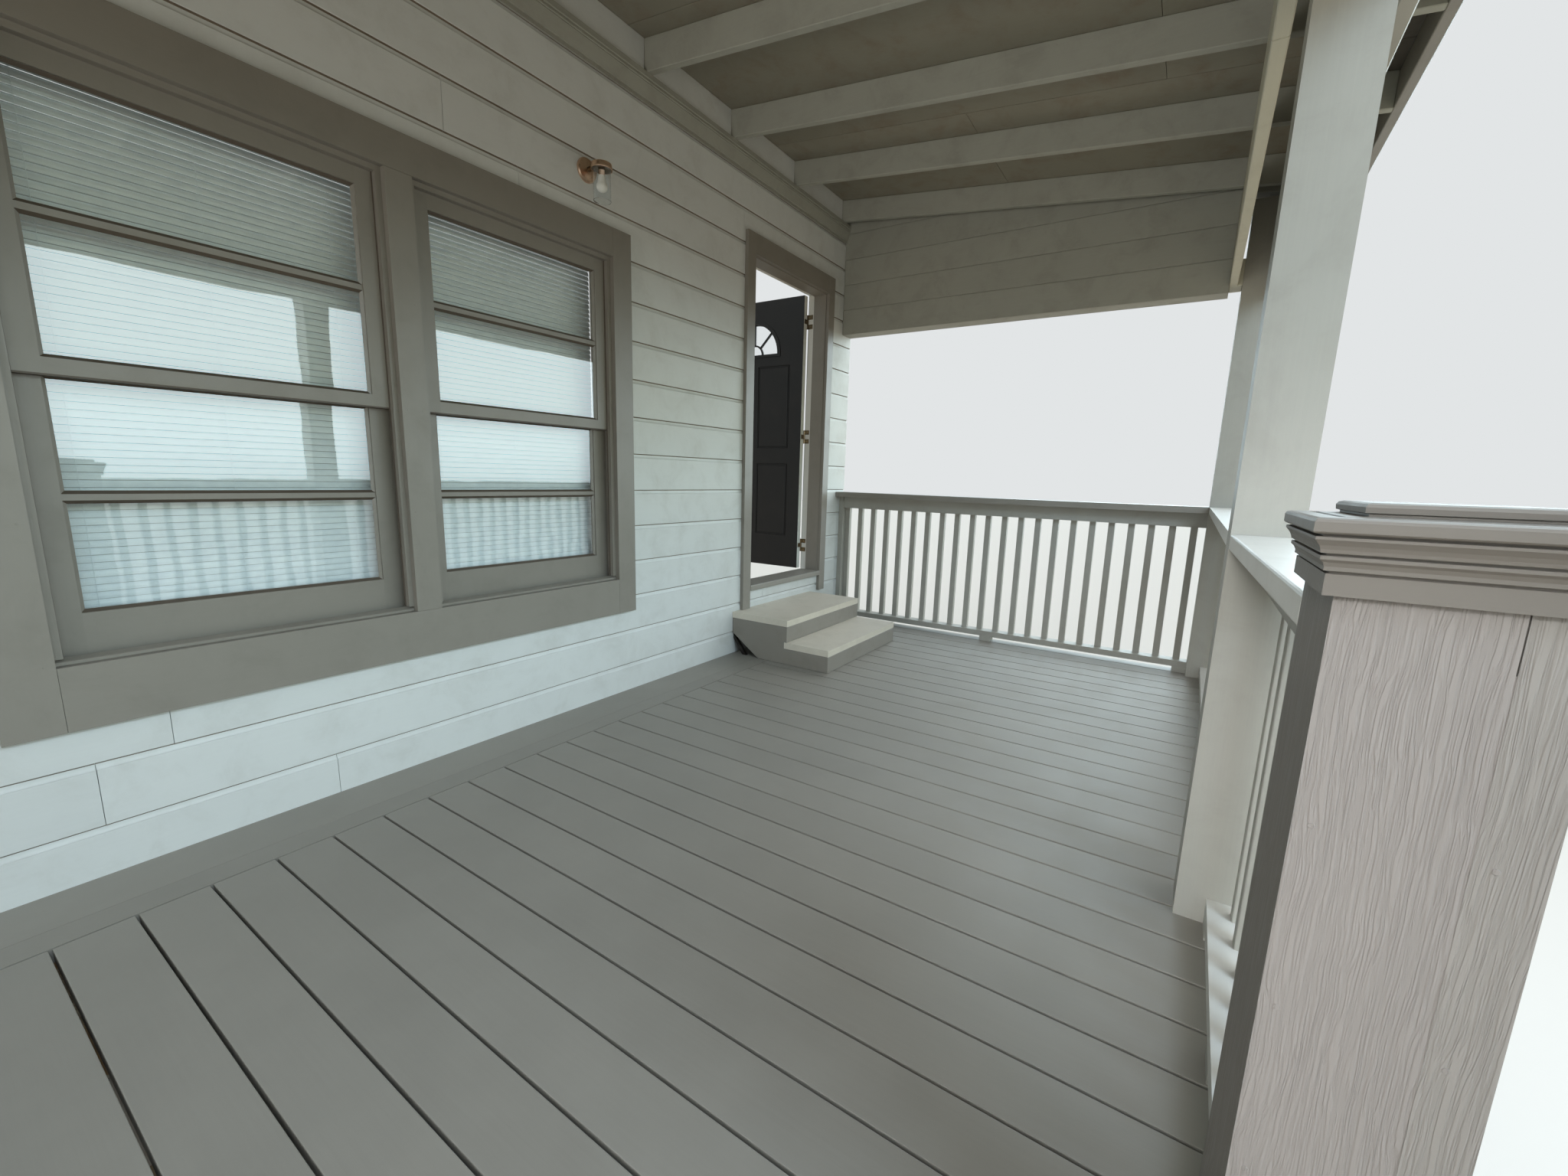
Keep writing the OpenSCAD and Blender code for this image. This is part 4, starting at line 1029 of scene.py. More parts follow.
def buildInsideTrim():
    ease, width = insideCasing["ease"], insideCasing["width"]
    part = newPart()
    for lo, hi in solidsOf("inside_trim"):
        left, right = lo.x + width, hi.x - width
        addBlock(part, lo, (left, hi.y, hi.z), ease)
        addBlock(part, (right, lo.y, lo.z), hi, ease)
        addBlock(part, (left, lo.y, hi.z - width), (right, hi.y, hi.z), ease, 1, 1)
        if lo.z > windowSill - 0.1:
            addBlock(part, (left, lo.y, lo.z), (right, hi.y, lo.z + width), ease, 1, 1)
    closePart(part, "inside_casing", paintedIn("inside z", "inside x"), ["inside_trim"])


buildInsideTrim()

print("Doorway")

doorway = {"jamb": 0.019, "stop": 0.012, "stopBack": 0.026, "ease": 0.0012, "seal": 0.007,
           "sealThick": 0.004, "sealGap": 0.002, "sealFoot": 0.01, "sealHead": 0.005, "sealEase": 0.0015,
           "casing": 0.08, "casingHead": 0.118, "casingEase": 0.0016, "cut": 0.0008, "nailInset": 0.018,
           "nailRows": 7, "nailPitch": 0.36, "firstNail": 0.08, "nailRadius": 0.003, "nailStand": 0.0005,
           "sillEase": 0.003}


def buildDoorFrame():
    # Jambs and head with stops, and a soft seal between stop and leaf
    spec = doorway
    lo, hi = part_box("door_frame")
    jamb, stop, back, ease = spec["jamb"], spec["stop"], spec["stopBack"], spec["ease"]
    sealBack, head, gap = back + spec["sealThick"], hi.z - jamb, spec["sealGap"]
    part = newPart()
    for outer, way in ((lo.x, 1), (hi.x, -1)):
        face = outer + way * jamb
        addBlock(part, (outer, lo.y, lo.z), (face, back, hi.z), ease)
        addBlock(part, (outer, back, lo.z), (face, hi.y, hi.z), ease, 1, 2)
        addBlock(part, (face, lo.y, lo.z), (face + way * stop, back, head), ease)
        addBlock(part, (face + way * gap, back, lo.z + spec["sealFoot"]),
                 (face + way * (gap + spec["seal"]), sealBack, head - spec["sealHead"]),
                 spec["sealEase"], 2, 2)
    left, right = lo.x + jamb, hi.x - jamb
    addBlock(part, (left, lo.y, head), (right, back, hi.z), ease, 1, 1)
    addBlock(part, (left, back, head), (right, hi.y, hi.z), ease, 1, 2)
    addBlock(part, (left + stop, lo.y, head - stop), (right - stop, back, head), ease, 1, 1)
    addBlock(part, (left + stop, back, head - gap - spec["seal"]), (right - stop, sealBack, head - gap),
             spec["sealEase"], 2, 2)
    closePart(part, "door_jambs", paintedIn("trim z", "trim x", "inside z"), ["door_frame"])


def buildDoorCasing():
    spec = doorway
    lo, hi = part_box("door_casing")
    part = newPart()
    ease, cut, inset = spec["casingEase"], spec["cut"], spec["nailInset"]
    left, right = lo.x + spec["casing"], hi.x - spec["casing"]
    addBlock(part, lo, (left, hi.y, hi.z), ease)
    addBlock(part, (right, lo.y, lo.z), hi, ease)
    addBlock(part, (left + cut, lo.y, hi.z - spec["casingHead"]), (right - cut, hi.y, hi.z), ease, 1, 1)
    spots = [(x, lo.y, lo.z + spec["firstNail"] + row * spec["nailPitch"])
             for x in (lo.x + inset, left - inset, right + inset, hi.x - inset)
             for row in range(spec["nailRows"])]
    addHeads(part, spots, headOut, spec["nailRadius"], spec["nailStand"])
    closePart(part, "door_casing_boards", paintedIn("trim z", "trim x"), ["door_casing"])
    closePart(slicedNode("threshold", spec["sillEase"]), "door_sill", paintedIn("deck x"),
              ["threshold"])


buildDoorFrame()
buildDoorCasing()

leafLo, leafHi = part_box("door_leaf")
leafFaces = ((leafLo.x, -1), (leafHi.x, 1))
leafPanels = {"side": 0.115, "middle": 0.1, "foot": 0.25, "lowHeight": 0.56, "lock": 0.12, "fanRail": 0.09,
              "fanTop": 0.157, "fanRadius": 0.235, "groove": 0.014, "bead": 0.0052, "beadEase": 0.0016,
              "sink": 0.0012, "beadBack": 0.0065, "slabEase": 0.0012}
fanMoulding = {"out": 0.02, "inside": 0.008, "proud": 0.006, "rimInset": 0.008, "barInset": 0.012,
               "bar": 0.012, "hub": 0.075, "rays": (45, 90, 135), "steps": 28, "sillEase": 0.002}


def addFanMoulding(part, middle, springing):
    # A half round frame on both faces of the leaf, with a hub and three bars like rays
    spec = fanMoulding
    radius, out, half = leafPanels["fanRadius"], spec["out"], spec["bar"] / 2
    faceBands = ((leafLo.x - spec["proud"], leafLo.x + spec["rimInset"]),
                 (leafHi.x - spec["rimInset"], leafHi.x + spec["proud"]))
    barBand = (leafLo.x + spec["barInset"], leafHi.x - spec["barInset"])
    angles = [math.pi * step / spec["steps"] for step in range(spec["steps"] + 1)]
    for outer, inner, bands in ((radius + out, radius - spec["inside"], faceBands),
                                (spec["hub"] + half, spec["hub"] - half, (barBand,))):
        for a, b in zip(angles, angles[1:]):
            outline = [(middle + r * math.cos(t), springing + r * math.sin(t))
                       for r, t in ((outer, a), (outer, b), (inner, b), (inner, a))]
            for band in bands:
                addPrism(part, outline, *band, "x", 0, 1, 0, 0.5)
    for start, end in faceBands:
        addBlock(part, (start, middle - radius - out, springing - out),
                 (end, middle + radius + out, springing), spec["sillEase"])
    for degrees in spec["rays"]:
        ray = Vector((0, math.cos(math.radians(degrees)), math.sin(math.radians(degrees))))
        side = Vector((0, -ray.z, ray.y)) * half
        near, far = [Vector((0, middle, springing)) + ray * length for length in (spec["hub"], radius)]
        outline = [(point.y, point.z) for point in (near + side, far + side, far - side, near - side)]
        addPrism(part, outline, *barBand, "x", 0)


def buildLeaf():
    spec = leafPanels
    slab = slicedNode("door_leaf", spec["slabEase"])
    for leafFace in slab.faces:
        if leafFace.normal.y < -0.9 and leafFace.calc_center_median().y < leafLo.y + 0.001:
            leafFace.material_index = 1
    closePart(slab, "leaf_slab", paintedIn("door z", "inside z"), ["door_leaf"], "door")
    part = newPart()
    width = (leafHi.y - leafLo.y - 2 * spec["side"] - spec["middle"]) / 2
    springing = leafHi.z - spec["fanTop"] - spec["fanRadius"]
    lowTop = leafLo.z + spec["foot"] + spec["lowHeight"]
    rows = ((leafLo.z + spec["foot"], lowTop), (lowTop + spec["lock"], springing - spec["fanRail"]))
    bead, ease = spec["bead"], spec["beadEase"]
    inset = (spec["groove"] - bead) / 2
    for face, way in leafFaces:
        front, back = face - way * spec["sink"], face - way * spec["beadBack"]
        for side in (0, 1):
            start = leafLo.y + spec["side"] + side * (width + spec["middle"])
            for bottom, top in rows:
                y0, y1, z0, z1 = start + inset, start + width - inset, bottom + inset, top - inset
                for y in (y0, y1 - bead):
                    addBlock(part, (front, y, z0), (back, y + bead, z1), ease, 2)
                for z in (z0, z1 - bead):
                    addBlock(part, (front, y0, z), (back, y1, z + bead), ease, 2)
    addFanMoulding(part, (leafLo.y + leafHi.y) / 2, springing)
    closePart(part, "leaf_mouldings", paintedIn("door z"), (), "door")
    finishNode("fan_light", windowGlass)


buildLeaf()

# The rose is a row of radius shares and heights; neck and ball lie at shares of the knob's reach
knobShape = {"rose": 0.033, "roseSteps": ((0, 0), (1, 0), (1, 0.003), (0.9, 0.006), (0.55, 0.009)),
             "neck": 0.011, "neckFoot": 0.011, "neckHead": 0.42, "ball": 0.0265, "ballMiddle": 0.7,
             "firstAngle": -62, "angleStep": 15.2, "angles": 10, "fullness": 0.8, "segments": 40}


def buildKnobs():
    spec = knobShape
    lo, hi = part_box("door_knobs")
    y, z = (lo.y + hi.y) / 2, (lo.z + hi.z) / 2
    rose = min(spec["rose"], (hi.z - lo.z) / 2)
    part = newPart()
    for (face, way), reach in zip(leafFaces, (leafLo.x - lo.x, hi.x - leafHi.x)):
        middle = reach * spec["ballMiddle"]
        profile = [(rose * share, height) for share, height in spec["roseSteps"]]
        profile += [(spec["neck"], spec["neckFoot"]), (spec["neck"], reach * spec["neckHead"])]
        for step in range(spec["angles"]):
            angle = math.radians(spec["firstAngle"] + step * spec["angleStep"])
            profile.append((spec["ball"] * math.cos(angle) ** spec["fullness"],
                            middle + (reach - middle) * math.sin(angle)))
        profile.append((0, reach))
        addTurned(part, profile, (face, y, z), (way, 0, 0), spec["segments"])
    closePart(part, "leaf_knobs", [brass], ["door_knobs"], "door", True)


buildKnobs()

# Screw places are shares across and into each plate
hingeScrews = {"radius": 0.0035, "stand": 0.0006, "leaf": ((0.3, 0.0),), "jamb": ((0.0, 0.25), (0.0, 0.6))}


def buildHinges():
    # The plates keep their CAD shape
    spec = hingeScrews
    for name, node, body, turn in (("leaf", "hinge_leaves", "door", headOut),
                                   ("jamb", "hinge_jambs", "porch", headLeft)):
        finishNode(node, darkBronze)
        part = newPart()
        spots = [(lo.x + (hi.x - lo.x) * across, lo.y + (hi.y - lo.y) * deep, (lo.z + hi.z) / 2)
                 for lo, hi in solidsOf(node) for across, deep in spec[name]]
        addHeads(part, spots, turn, spec["radius"], spec["stand"])
        closePart(part, "hinge_screws_" + name, [brass], (), body)


buildHinges()

print("Wall lamp")

# Each profile is a row of radius shares and heights
lampShape = {"wall": 0.002, "rim": 0.004, "lip": 0.001, "taper": 0.003, "thin": 0.0006,
             "plateRadius": 0.05, "arm": 0.011, "armReach": 0.9, "segments": 56,
             "cap": ((0, 0.03), (0.62, 0.03), (0.8, 0.027), (0.95, 0.023), (0.95, 0.012), (1, 0.01),
                     (1, 0.003), (0.98, 0), (0.95, 0), (0.95, 0.004), (0, 0.004)),
             "under": ((0, 0.001), (0.95, 0.001), (0.95, 0.004), (0, 0.004)),
             "plate": ((0, 0), (1, 0), (1, 0.006), (0.93, 0.011), (0.6, 0.014), (0.35, 0.018), (0, 0.018)),
             "screw": ((0, 0), (0.003, 0), (0.003, 0.003), (0, 0.0036)), "screwUp": 0.0075,
             "screwIn": 0.004, "screwAngles": (90, 210, 330)}
bulbShape = {"neckShares": (0.7, 0.76), "neck": (0.0145, 0.0135), "threadShare": 0.755, "ridges": 8,
             "thread": (0.0118, 0.0128), "segments": 40}


def buildLamp():
    spec = lampShape
    lo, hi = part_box("lamp_fitting")
    glassLo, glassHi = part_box("lamp_glass")
    middle = (glassLo + glassHi) / 2
    centre = (middle.x, middle.y, 0)
    radius = (glassHi.x - glassLo.x) / 2
    capRadius, capFoot = middle.y - lo.y, glassHi.z
    wallSpot = (middle.x, sidingFace, (lo.z + hi.z) / 2)
    part = newPart()
    for profile, finish in ((spec["cap"], 0), (spec["under"], 1)):
        addTurned(part, [(share * capRadius, capFoot + height) for share, height in profile], centre, upward,
                  spec["segments"], finish)
    plate = [(share * spec["plateRadius"], height) for share, height in spec["plate"]]
    addTurned(part, plate, wallSpot, (0, -1, 0), spec["segments"])
    arm, reach = spec["arm"], sidingFace - middle.y - capRadius * spec["armReach"]
    addTurned(part, [(0, 0), (arm, 0), (arm, reach), (0, reach)], wallSpot, (0, -1, 0), 32, 1)
    for degrees in spec["screwAngles"]:
        outward = Vector((math.cos(math.radians(degrees)), math.sin(math.radians(degrees)), 0))
        start = Vector((middle.x, middle.y, capFoot + spec["screwUp"]))
        start += outward * (capRadius - spec["screwIn"])
        addTurned(part, spec["screw"], start, outward, 12)
    closePart(part, "lamp_body", [copper, darkBronze], ["lamp_fitting"], smooth=True)
    glass = newPart()
    inner, thin = radius - spec["wall"], radius - spec["thin"]
    lipTop = glassLo.z + spec["rim"]
    lipFoot = glassLo.z + spec["lip"]
    outline = [(inner, lipFoot), (radius - spec["wall"] * 0.5, glassLo.z), (radius, lipFoot),
               (radius, lipTop), (thin, lipTop + spec["taper"]), (thin, glassHi.z), (inner, glassHi.z),
               (inner, lipFoot)]
    addTurned(glass, outline, centre, upward, spec["segments"])
    bmesh.ops.remove_doubles(glass, verts=glass.verts, dist=1e-6)
    bmesh.ops.recalc_face_normals(glass, faces=glass.faces)
    closePart(glass, "lamp_sleeve", [lampGlass], ["lamp_glass"], smooth=True)


def buildBulb():
    spec = bulbShape
    lo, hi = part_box("lamp_bulb")
    middle = sum(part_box("lamp_glass"), Vector()) / 2
    centre = (middle.x, middle.y, 0)
    swell, tall = (hi.x - lo.x) / 2, hi.z - lo.z
    low, high = [lo.z + tall * share for share in spec["neckShares"]]
    shape = [(0, lo.z)]
    for degrees in range(-77, 41, 13):
        angle = math.radians(degrees)
        shape.append((swell * math.cos(angle), lo.z + swell + swell * math.sin(angle)))
    shape += [(spec["neck"][0], low), (spec["neck"][1], high), (0, high)]
    bulb = newPart()
    addTurned(bulb, shape, centre, upward, spec["segments"])
    foot = lo.z + tall * spec["threadShare"]
    thread = [(spec["thread"][step % 2], hi.z - (hi.z - foot) * step / spec["ridges"])
              for step in range(spec["ridges"] + 1)]
    addTurned(bulb, [(0, hi.z), *thread, (0, foot)], centre, upward, spec["segments"], 1)
    closePart(bulb, "lamp_lightbulb", [frostedBulb, copper], ["lamp_bulb"], smooth=True)


buildLamp()
buildBulb()

print("Deck")

deckBoards = {"pitch": 0.146, "gap": 0.0072, "phase": -1.793, "edge": 0.0018, "borderGap": 0.0016,
              "borderEase": 0.0015, "least": 0.05}


def buildDeck():
    # Full boards on the pitch read from the photo, one ripped board at each end, and two border boards
    spec = deckBoards
    (lo, hi), narrow, wide = sorted(solidsOf("deck_floor"), key=lambda pair: pair[0].y)
    pitch, gap, phase = spec["pitch"], spec["gap"], spec["phase"]
    first = math.ceil((lo.x + spec["least"] - phase) / pitch)
    last = math.floor((hi.x - spec["least"] - phase) / pitch)
    left, right = phase + first * pitch, phase + last * pitch
    part = newPart()
    for count, middle, width, seed in ((last - first, left + pitch / 2, pitch - gap, 8),
                                       (1, (lo.x + left - gap / 2) / 2, left - gap / 2 - lo.x, 31),
                                       (1, (right + gap / 2 + hi.x) / 2, hi.x - right - gap / 2, 32)):
        addMesh(part, grown(laidBars, {"Count": count, "Start": (middle, lo.y, (lo.z + hi.z) / 2),
                            "Step": (pitch, 0.0, 0.0), "Width": width, "Depth": hi.z - lo.z,
                            "Length": hi.y - lo.y, "Edge": spec["edge"], "Turn": (-math.pi / 2, 0.0, 0.0),
                            "Seed": seed}))
    shut = narrow[1].y + spec["borderGap"]
    for (a, b), front in ((narrow, narrow[0].y), (wide, shut)):
        addBlock(part, (a.x, front, a.z), b, spec["borderEase"], 1, 1)
    closePart(part, "deck_boards", paintedIn("deck y", "deck x"), ["deck_floor"])


buildDeck()

underDeck = {"ease": 0.002, "pierEdge": 0.006}


def blocksOfNode(node, name, finishes, ease, finish=0):
    part = newPart()
    for lo, hi in solidsOf(node):
        addBlock(part, lo, hi, ease, 1, finish)
    closePart(part, name, finishes, [node])


blocksOfNode("deck_joists", "deck_joist_boards", paintedIn("bare x"), underDeck["ease"])
blocksOfNode("deck_girders", "deck_girder_beams", paintedIn("bare y"), underDeck["ease"])
blocksOfNode("deck_piers", "deck_pier_blocks", [blockwork], underDeck["pierEdge"])


rimShape = {"ease": 0.003, "bolt": 0.005, "boltStand": 0.0008, "boltRows": 5, "boltInset": 0.05,
            "firstBolt": 0.3, "boltEnds": 0.4}


def buildRim():
    spec = rimShape
    lo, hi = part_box("rim_boards")
    part = newPart()
    addBlock(part, lo, (hi.x, lo.y + lumber, hi.z), spec["ease"])
    for x, way in ((lo.x, 1), (hi.x, -1)):
        addBlock(part, (x, lo.y + lumber, lo.z), (x + way * lumber, hi.y, hi.z), spec["ease"], 1, 1)
    pitch = (hi.y - lo.y - spec["boltEnds"]) / (spec["boltRows"] - 1)
    spots = [(lo.y + spec["firstBolt"] + row * pitch, z) for row in range(spec["boltRows"])
             for z in (lo.z + spec["boltInset"], hi.z - spec["boltInset"])]
    for x, turn in ((hi.x, headRight), (lo.x, headLeft)):
        addHeads(part, [(x, y, z) for y, z in spots], turn, spec["bolt"], spec["boltStand"], 2)
    closePart(part, "rim_joist_boards", [*paintedIn("trim x", "trim y"), dullZinc],
              ["rim_boards"])


buildRim()

print("Posts and railings")

postShape = {"ease": 0.004, "segments": 2}
postPart = newPart()
for postLo, postHi in solidsOf("roof_posts"):
    addBlock(postPart, postLo, postHi, postShape["ease"], postShape["segments"])
closePart(postPart, "roof_post_timbers", paintedIn("rail z"), ["roof_posts"])

newelShape = {"board": 0.019, "streetBoard": 0.044, "core": 0.004, "ease": 0.0016, "streetEase": 0.00064,
              "nailRadius": 0.0035, "nailStand": 0.0005, "nailPitch": 0.19, "firstNail": 0.09,
              "nailRows": 5, "nailInsets": (0.014, 0.03), "seam": 0.0011, "openSeam": 0.05,
              "filled": 0.00035, "fillLap": 0.001, "skin": 0.003}


def buildNewels():
    # Four boards round a core; the seam by the street board is filled but for its top
    spec = newelShape
    part = newPart()
    board, core, seam, filled, ease = (spec[key] for key in ("board", "core", "seam", "filled", "ease"))
    lap = spec["fillLap"]
    for lo, hi in solidsOf("newel_posts"):
        edge = lo.y + spec["streetBoard"]
        addBlock(part, (lo.x + core, lo.y + core, lo.z), (hi.x - core, hi.y - core, hi.z), 0)
        addBlock(part, lo, (hi.x, edge, hi.z), spec["streetEase"], 1, 1)
        addBlock(part, (lo.x + filled, edge - lap, lo.z),
                 (hi.x - filled, edge + seam + lap, hi.z - spec["openSeam"]), 0)
        addBlock(part, (lo.x, edge + seam, lo.z), (lo.x + board, hi.y, hi.z), ease)
        addBlock(part, (hi.x - board, edge + seam, lo.z), hi, ease)
        addBlock(part, (lo.x + board, hi.y - board, lo.z), (hi.x - board, hi.y, hi.z), ease)
        # Painted shade: the inner face takes the darker inner paint
        part.faces.ensure_lookup_table()
        for face in part.faces:
            if face.normal.y > 0.9 and face.calc_center_median().y > hi.y - spec["skin"]:
                face.material_index = 2
        back, street = spec["nailInsets"]
        for x, turn in ((lo.x, headLeft), (hi.x, headRight)):
            spots = [(x, y, lo.z + spec["firstNail"] + row * spec["nailPitch"])
                     for y in (hi.y - back, lo.y + street) for row in range(spec["nailRows"])]
            addHeads(part, spots, turn, spec["nailRadius"], spec["nailStand"])
    closePart(part, "boxed_newels", [sawnFace, sawnEdge, sawnShadedInner], ["newel_posts"])


buildNewels()

# Cap moulding from its foot up: how far it stands out of the newel, and the share of its height
capMoulding = {"outline": [
    (0.0, 0.0), (0.0095, 0.0), (0.0095, 0.235), (0.007, 0.245), (0.007, 0.262), (0.0115, 0.27),
    (0.0115, 0.315), (0.013, 0.36), (0.0155, 0.392), (0.0155, 0.43), (0.0115, 0.44), (0.0115, 0.455),
    (0.016, 0.462), (0.0165, 0.5), (0.018, 0.545), (0.020, 0.58), (0.0215, 0.605), (0.0215, 0.635),
    (0.0165, 0.645), (0.0165, 0.66), (0.0225, 0.67), (0.024, 0.69), (0.024, 0.79), (0.023, 0.82),
    (0.020, 0.835), (0.007, 0.842), (0.006, 0.815), (0.002, 0.815), (0.001, 0.845), (-0.012, 0.85),
    (-0.0155, 0.855), (-0.0155, 0.88), (-0.0125, 0.89), (-0.012, 0.95), (-0.0135, 0.985), (-0.017, 1.0)]}


def buildCaps():
    part = newPart()
    capLo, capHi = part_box("newel_caps")
    for lo, hi in solidsOf("newel_posts"):
        cap = newPart()
        rings = []
        for out, share in capMoulding["outline"]:
            z = capLo.z + (capHi.z - capLo.z) * share
            rings.append([cap.verts.new(corner) for corner in (
                (lo.x - out, lo.y - out, z), (hi.x + out, lo.y - out, z),
                (hi.x + out, hi.y + out, z), (lo.x - out, hi.y + out, z))])
        faces = [cap.faces.new(rings[0]), cap.faces.new(rings[-1])]
        for low, high in zip(rings, rings[1:]):
            for side in range(4):
                after = (side + 1) % 4
                faces.append(cap.faces.new((low[side], low[after], high[after], high[side])))
        bmesh.ops.recalc_face_normals(cap, faces=faces)
        settle(cap, faces, 0, 0, 0, None)
        trimPart(cap, *cutAt("x", capLo.x, -1))
        joinPart(part, cap)
    closePart(part, "newel_cap_mouldings", paintedIn("cap y"), ["newel_caps"])


buildCaps()

railShape = {"ease": 0.004, "picket": 0.038, "pitch": 0.116, "picketEdge": 0.003, "capThick": 0.038,
             "subrail": 0.089, "bottom": 0.089, "lift": 0.035, "picketBack": 0.05, "shake": 0.0025,
             "blockEase": 0.002, "endEase": 0.003, "nailDown": 0.045, "nailRadius": 0.0038,
             "nailStand": 0.0006}


def railing(node, name, street, centre, start, end, wallEnd, finishes, seed):
    # street is the axis across the railing and the way out on it; centre is the railing's own line
    spec = railShape
    axis, way = street
    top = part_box("rail_caps")[1].z - spec["capThick"]
    foot = deckTop + spec["lift"]
    part = newPart()

    def spot(along, across, z):
        return (across, along, z) if axis == 0 else (along, across, z)

    def bar(runFrom, runTo, sideFrom, sideTo, low, high, ease, finish):
        addBlock(part, spot(runFrom, sideFrom, low), spot(runTo, sideTo, high), ease, 1, finish)

    inner = centre + way * spec["picketBack"]
    outer = inner + way * spec["picket"]
    back = outer - way * spec["bottom"]
    bar(start, end, inner, inner - way * lumber, top - spec["subrail"], top, spec["ease"] / 2, 0)
    bar(start, end, outer, back, foot, foot + lumber, spec["ease"], 2)
    for share in (0.0, 0.5, 1.0):
        middle = min(max(start + (end - start) * share, start + lumber), end - lumber)
        bar(middle - lumber, middle + lumber, outer - way * 0.001, back + way * 0.001, deckTop, foot,
            spec["blockEase"], 0)
    if wallEnd:
        bar(end - lumber, end, outer, back, deckTop, top, spec["endEase"], 1)
    pickets = round((end - start) / spec["pitch"])
    pitch = (end - start) / pickets
    mesh = grown(laidBars, {"Count": pickets, "Step": spot(pitch, 0.0, 0.0),
                 "Start": spot(start + pitch / 2, inner + way * spec["picket"] / 2, foot + lumber),
                 "Width": spec["picket"], "Depth": spec["picket"], "Length": top - foot - lumber,
                 "Edge": spec["picketEdge"], "Shake": spot(spec["shake"], 0.0, 0.0), "Seed": seed})
    addMesh(part, mesh, 1)
    spots = [spot(start + pitch * (index + 0.5) + 0.001, outer, top - spec["nailDown"])
             for index in range(pickets)]
    turn = {(0, 1): headRight, (0, -1): headLeft, (1, -1): headOut, (1, 1): headIn}[street]
    addHeads(part, spots, turn, spec["nailRadius"], spec["nailStand"], 1, seed)
    closePart(part, name, finishes, [node])


nearPost, midPost, *_, farPost = solidsOf("roof_posts")
postLine = (midPost[0].y + midPost[1].y) / 2
stairNewel = solidsOf("newel_posts")[-1]
runsY = paintedIn("rail y", "rail z", "rail y")
# The front railings' bottom rails take the lighter rail paint: painted light on their tops
runsX = paintedIn("rail x", "rail z", "railTop x")
for node, name, way, post, seed in (("far_railing", "far_end_railing", 1, farPost, 51),
                                    ("left_railing", "left_end_railing", -1, nearPost, 52)):
    railing(node, name, (0, way), (post[0].x + post[1].x) / 2, post[1].y, sidingFace, True, runsY, seed)
for node, name, left, right, seed in (("front_railing", "long_front_railing", midPost, farPost, 53),
                                      ("near_bay_railing", "short_front_railing", stairNewel, midPost, 54)):
    railing(node, name, (1, -1), postLine, left[1].x, right[0].x, False, runsX, seed)


def buildRailCaps():
    # The caps run from post to post and from the end posts to the wall
    ease = railShape["ease"]
    lo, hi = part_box("rail_caps")
    part = newPart()
    for post in (nearPost, farPost):
        addBlock(part, (post[0].x, post[1].y, lo.z), (post[1].x, hi.y, hi.z), ease, 2)
    # The front caps take the lighter rail paint: painted light on their tops
    addBlock(part, (midPost[1].x, midPost[0].y, lo.z), (farPost[0].x, midPost[1].y, hi.z), ease, 2, 1)
    left, right = stairNewel[1].x, midPost[0].x
    skewed = [(left, midPost[0].y), (right, midPost[0].y), (right, midPost[1].y), (left, stairNewel[1].y)]
    addPrism(part, skewed, lo.z, hi.z, "z", ease, 2, 1)
    closePart(part, "rail_cap_boards", paintedIn("trim y", "railTop x"),
              ["rail_caps"])


buildRailCaps()

print("Steps")

entryStep = {"ease": 0.003, "treadEase": 0.005, "frontNails": 0.05, "backNails": 0.06,
             "cutRun": 0.105, "cutRise": 0.13, "toeShow": 0.03, "toeSet": 0.012, "toeThick": 0.02}
treadNails = {"radius": 0.004, "stand": 0.0005, "inset": 0.02}


def nailTread(part, lo, hi, rows):
    # Three nails in each row across a tread
    inset = treadNails["inset"]
    spots = [(x, y, hi.z) for x in (lo.x + inset, (lo.x + hi.x) / 2, hi.x - inset) for y in rows]
    addHeads(part, spots, headUp, treadNails["radius"], treadNails["stand"])


def buildEntrySteps():
    # Two treads on a box whose foot is cut off on a slant, with a dark strip behind the cut as a painted
    # shadow in the gap
    spec = entryStep
    part = newPart()
    for lo, hi in solidsOf("entry_treads"):
        addBlock(part, lo, hi, spec["treadEase"], 2)
        nailTread(part, lo, hi, (lo.y + spec["frontNails"], hi.y - spec["backNails"]))
    # The treads take the lighter step paint: painted light on their tops
    closePart(part, "door_step_treads", paintedIn("step x"), ["entry_treads"])
    box = slicedNode("entry_box", spec["ease"])
    lo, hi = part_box("entry_box")
    # A painted shadow: a board in the dark door paint, set back behind the slanted cut
    run, rise, show = spec["cutRun"], spec["cutRise"], spec["toeShow"]
    toe = [(hi.y - run, lo.z), (hi.y, lo.z + rise), (hi.y, lo.z + rise - show), (hi.y - run + show, lo.z)]
    start = lo.x + spec["toeSet"]
    addPrism(box, toe, start, start + spec["toeThick"], "x", 0, 1, 1)
    closePart(box, "door_step_box", paintedIn("trim y", "door y"), ["entry_box"])


buildEntrySteps()

frontStep = {"gap": 0.006, "noseEase": 0.005, "backEase": 0.004, "nailInset": 0.03, "riserEase": 0.0015,
             "stringerEase": 0.0025}


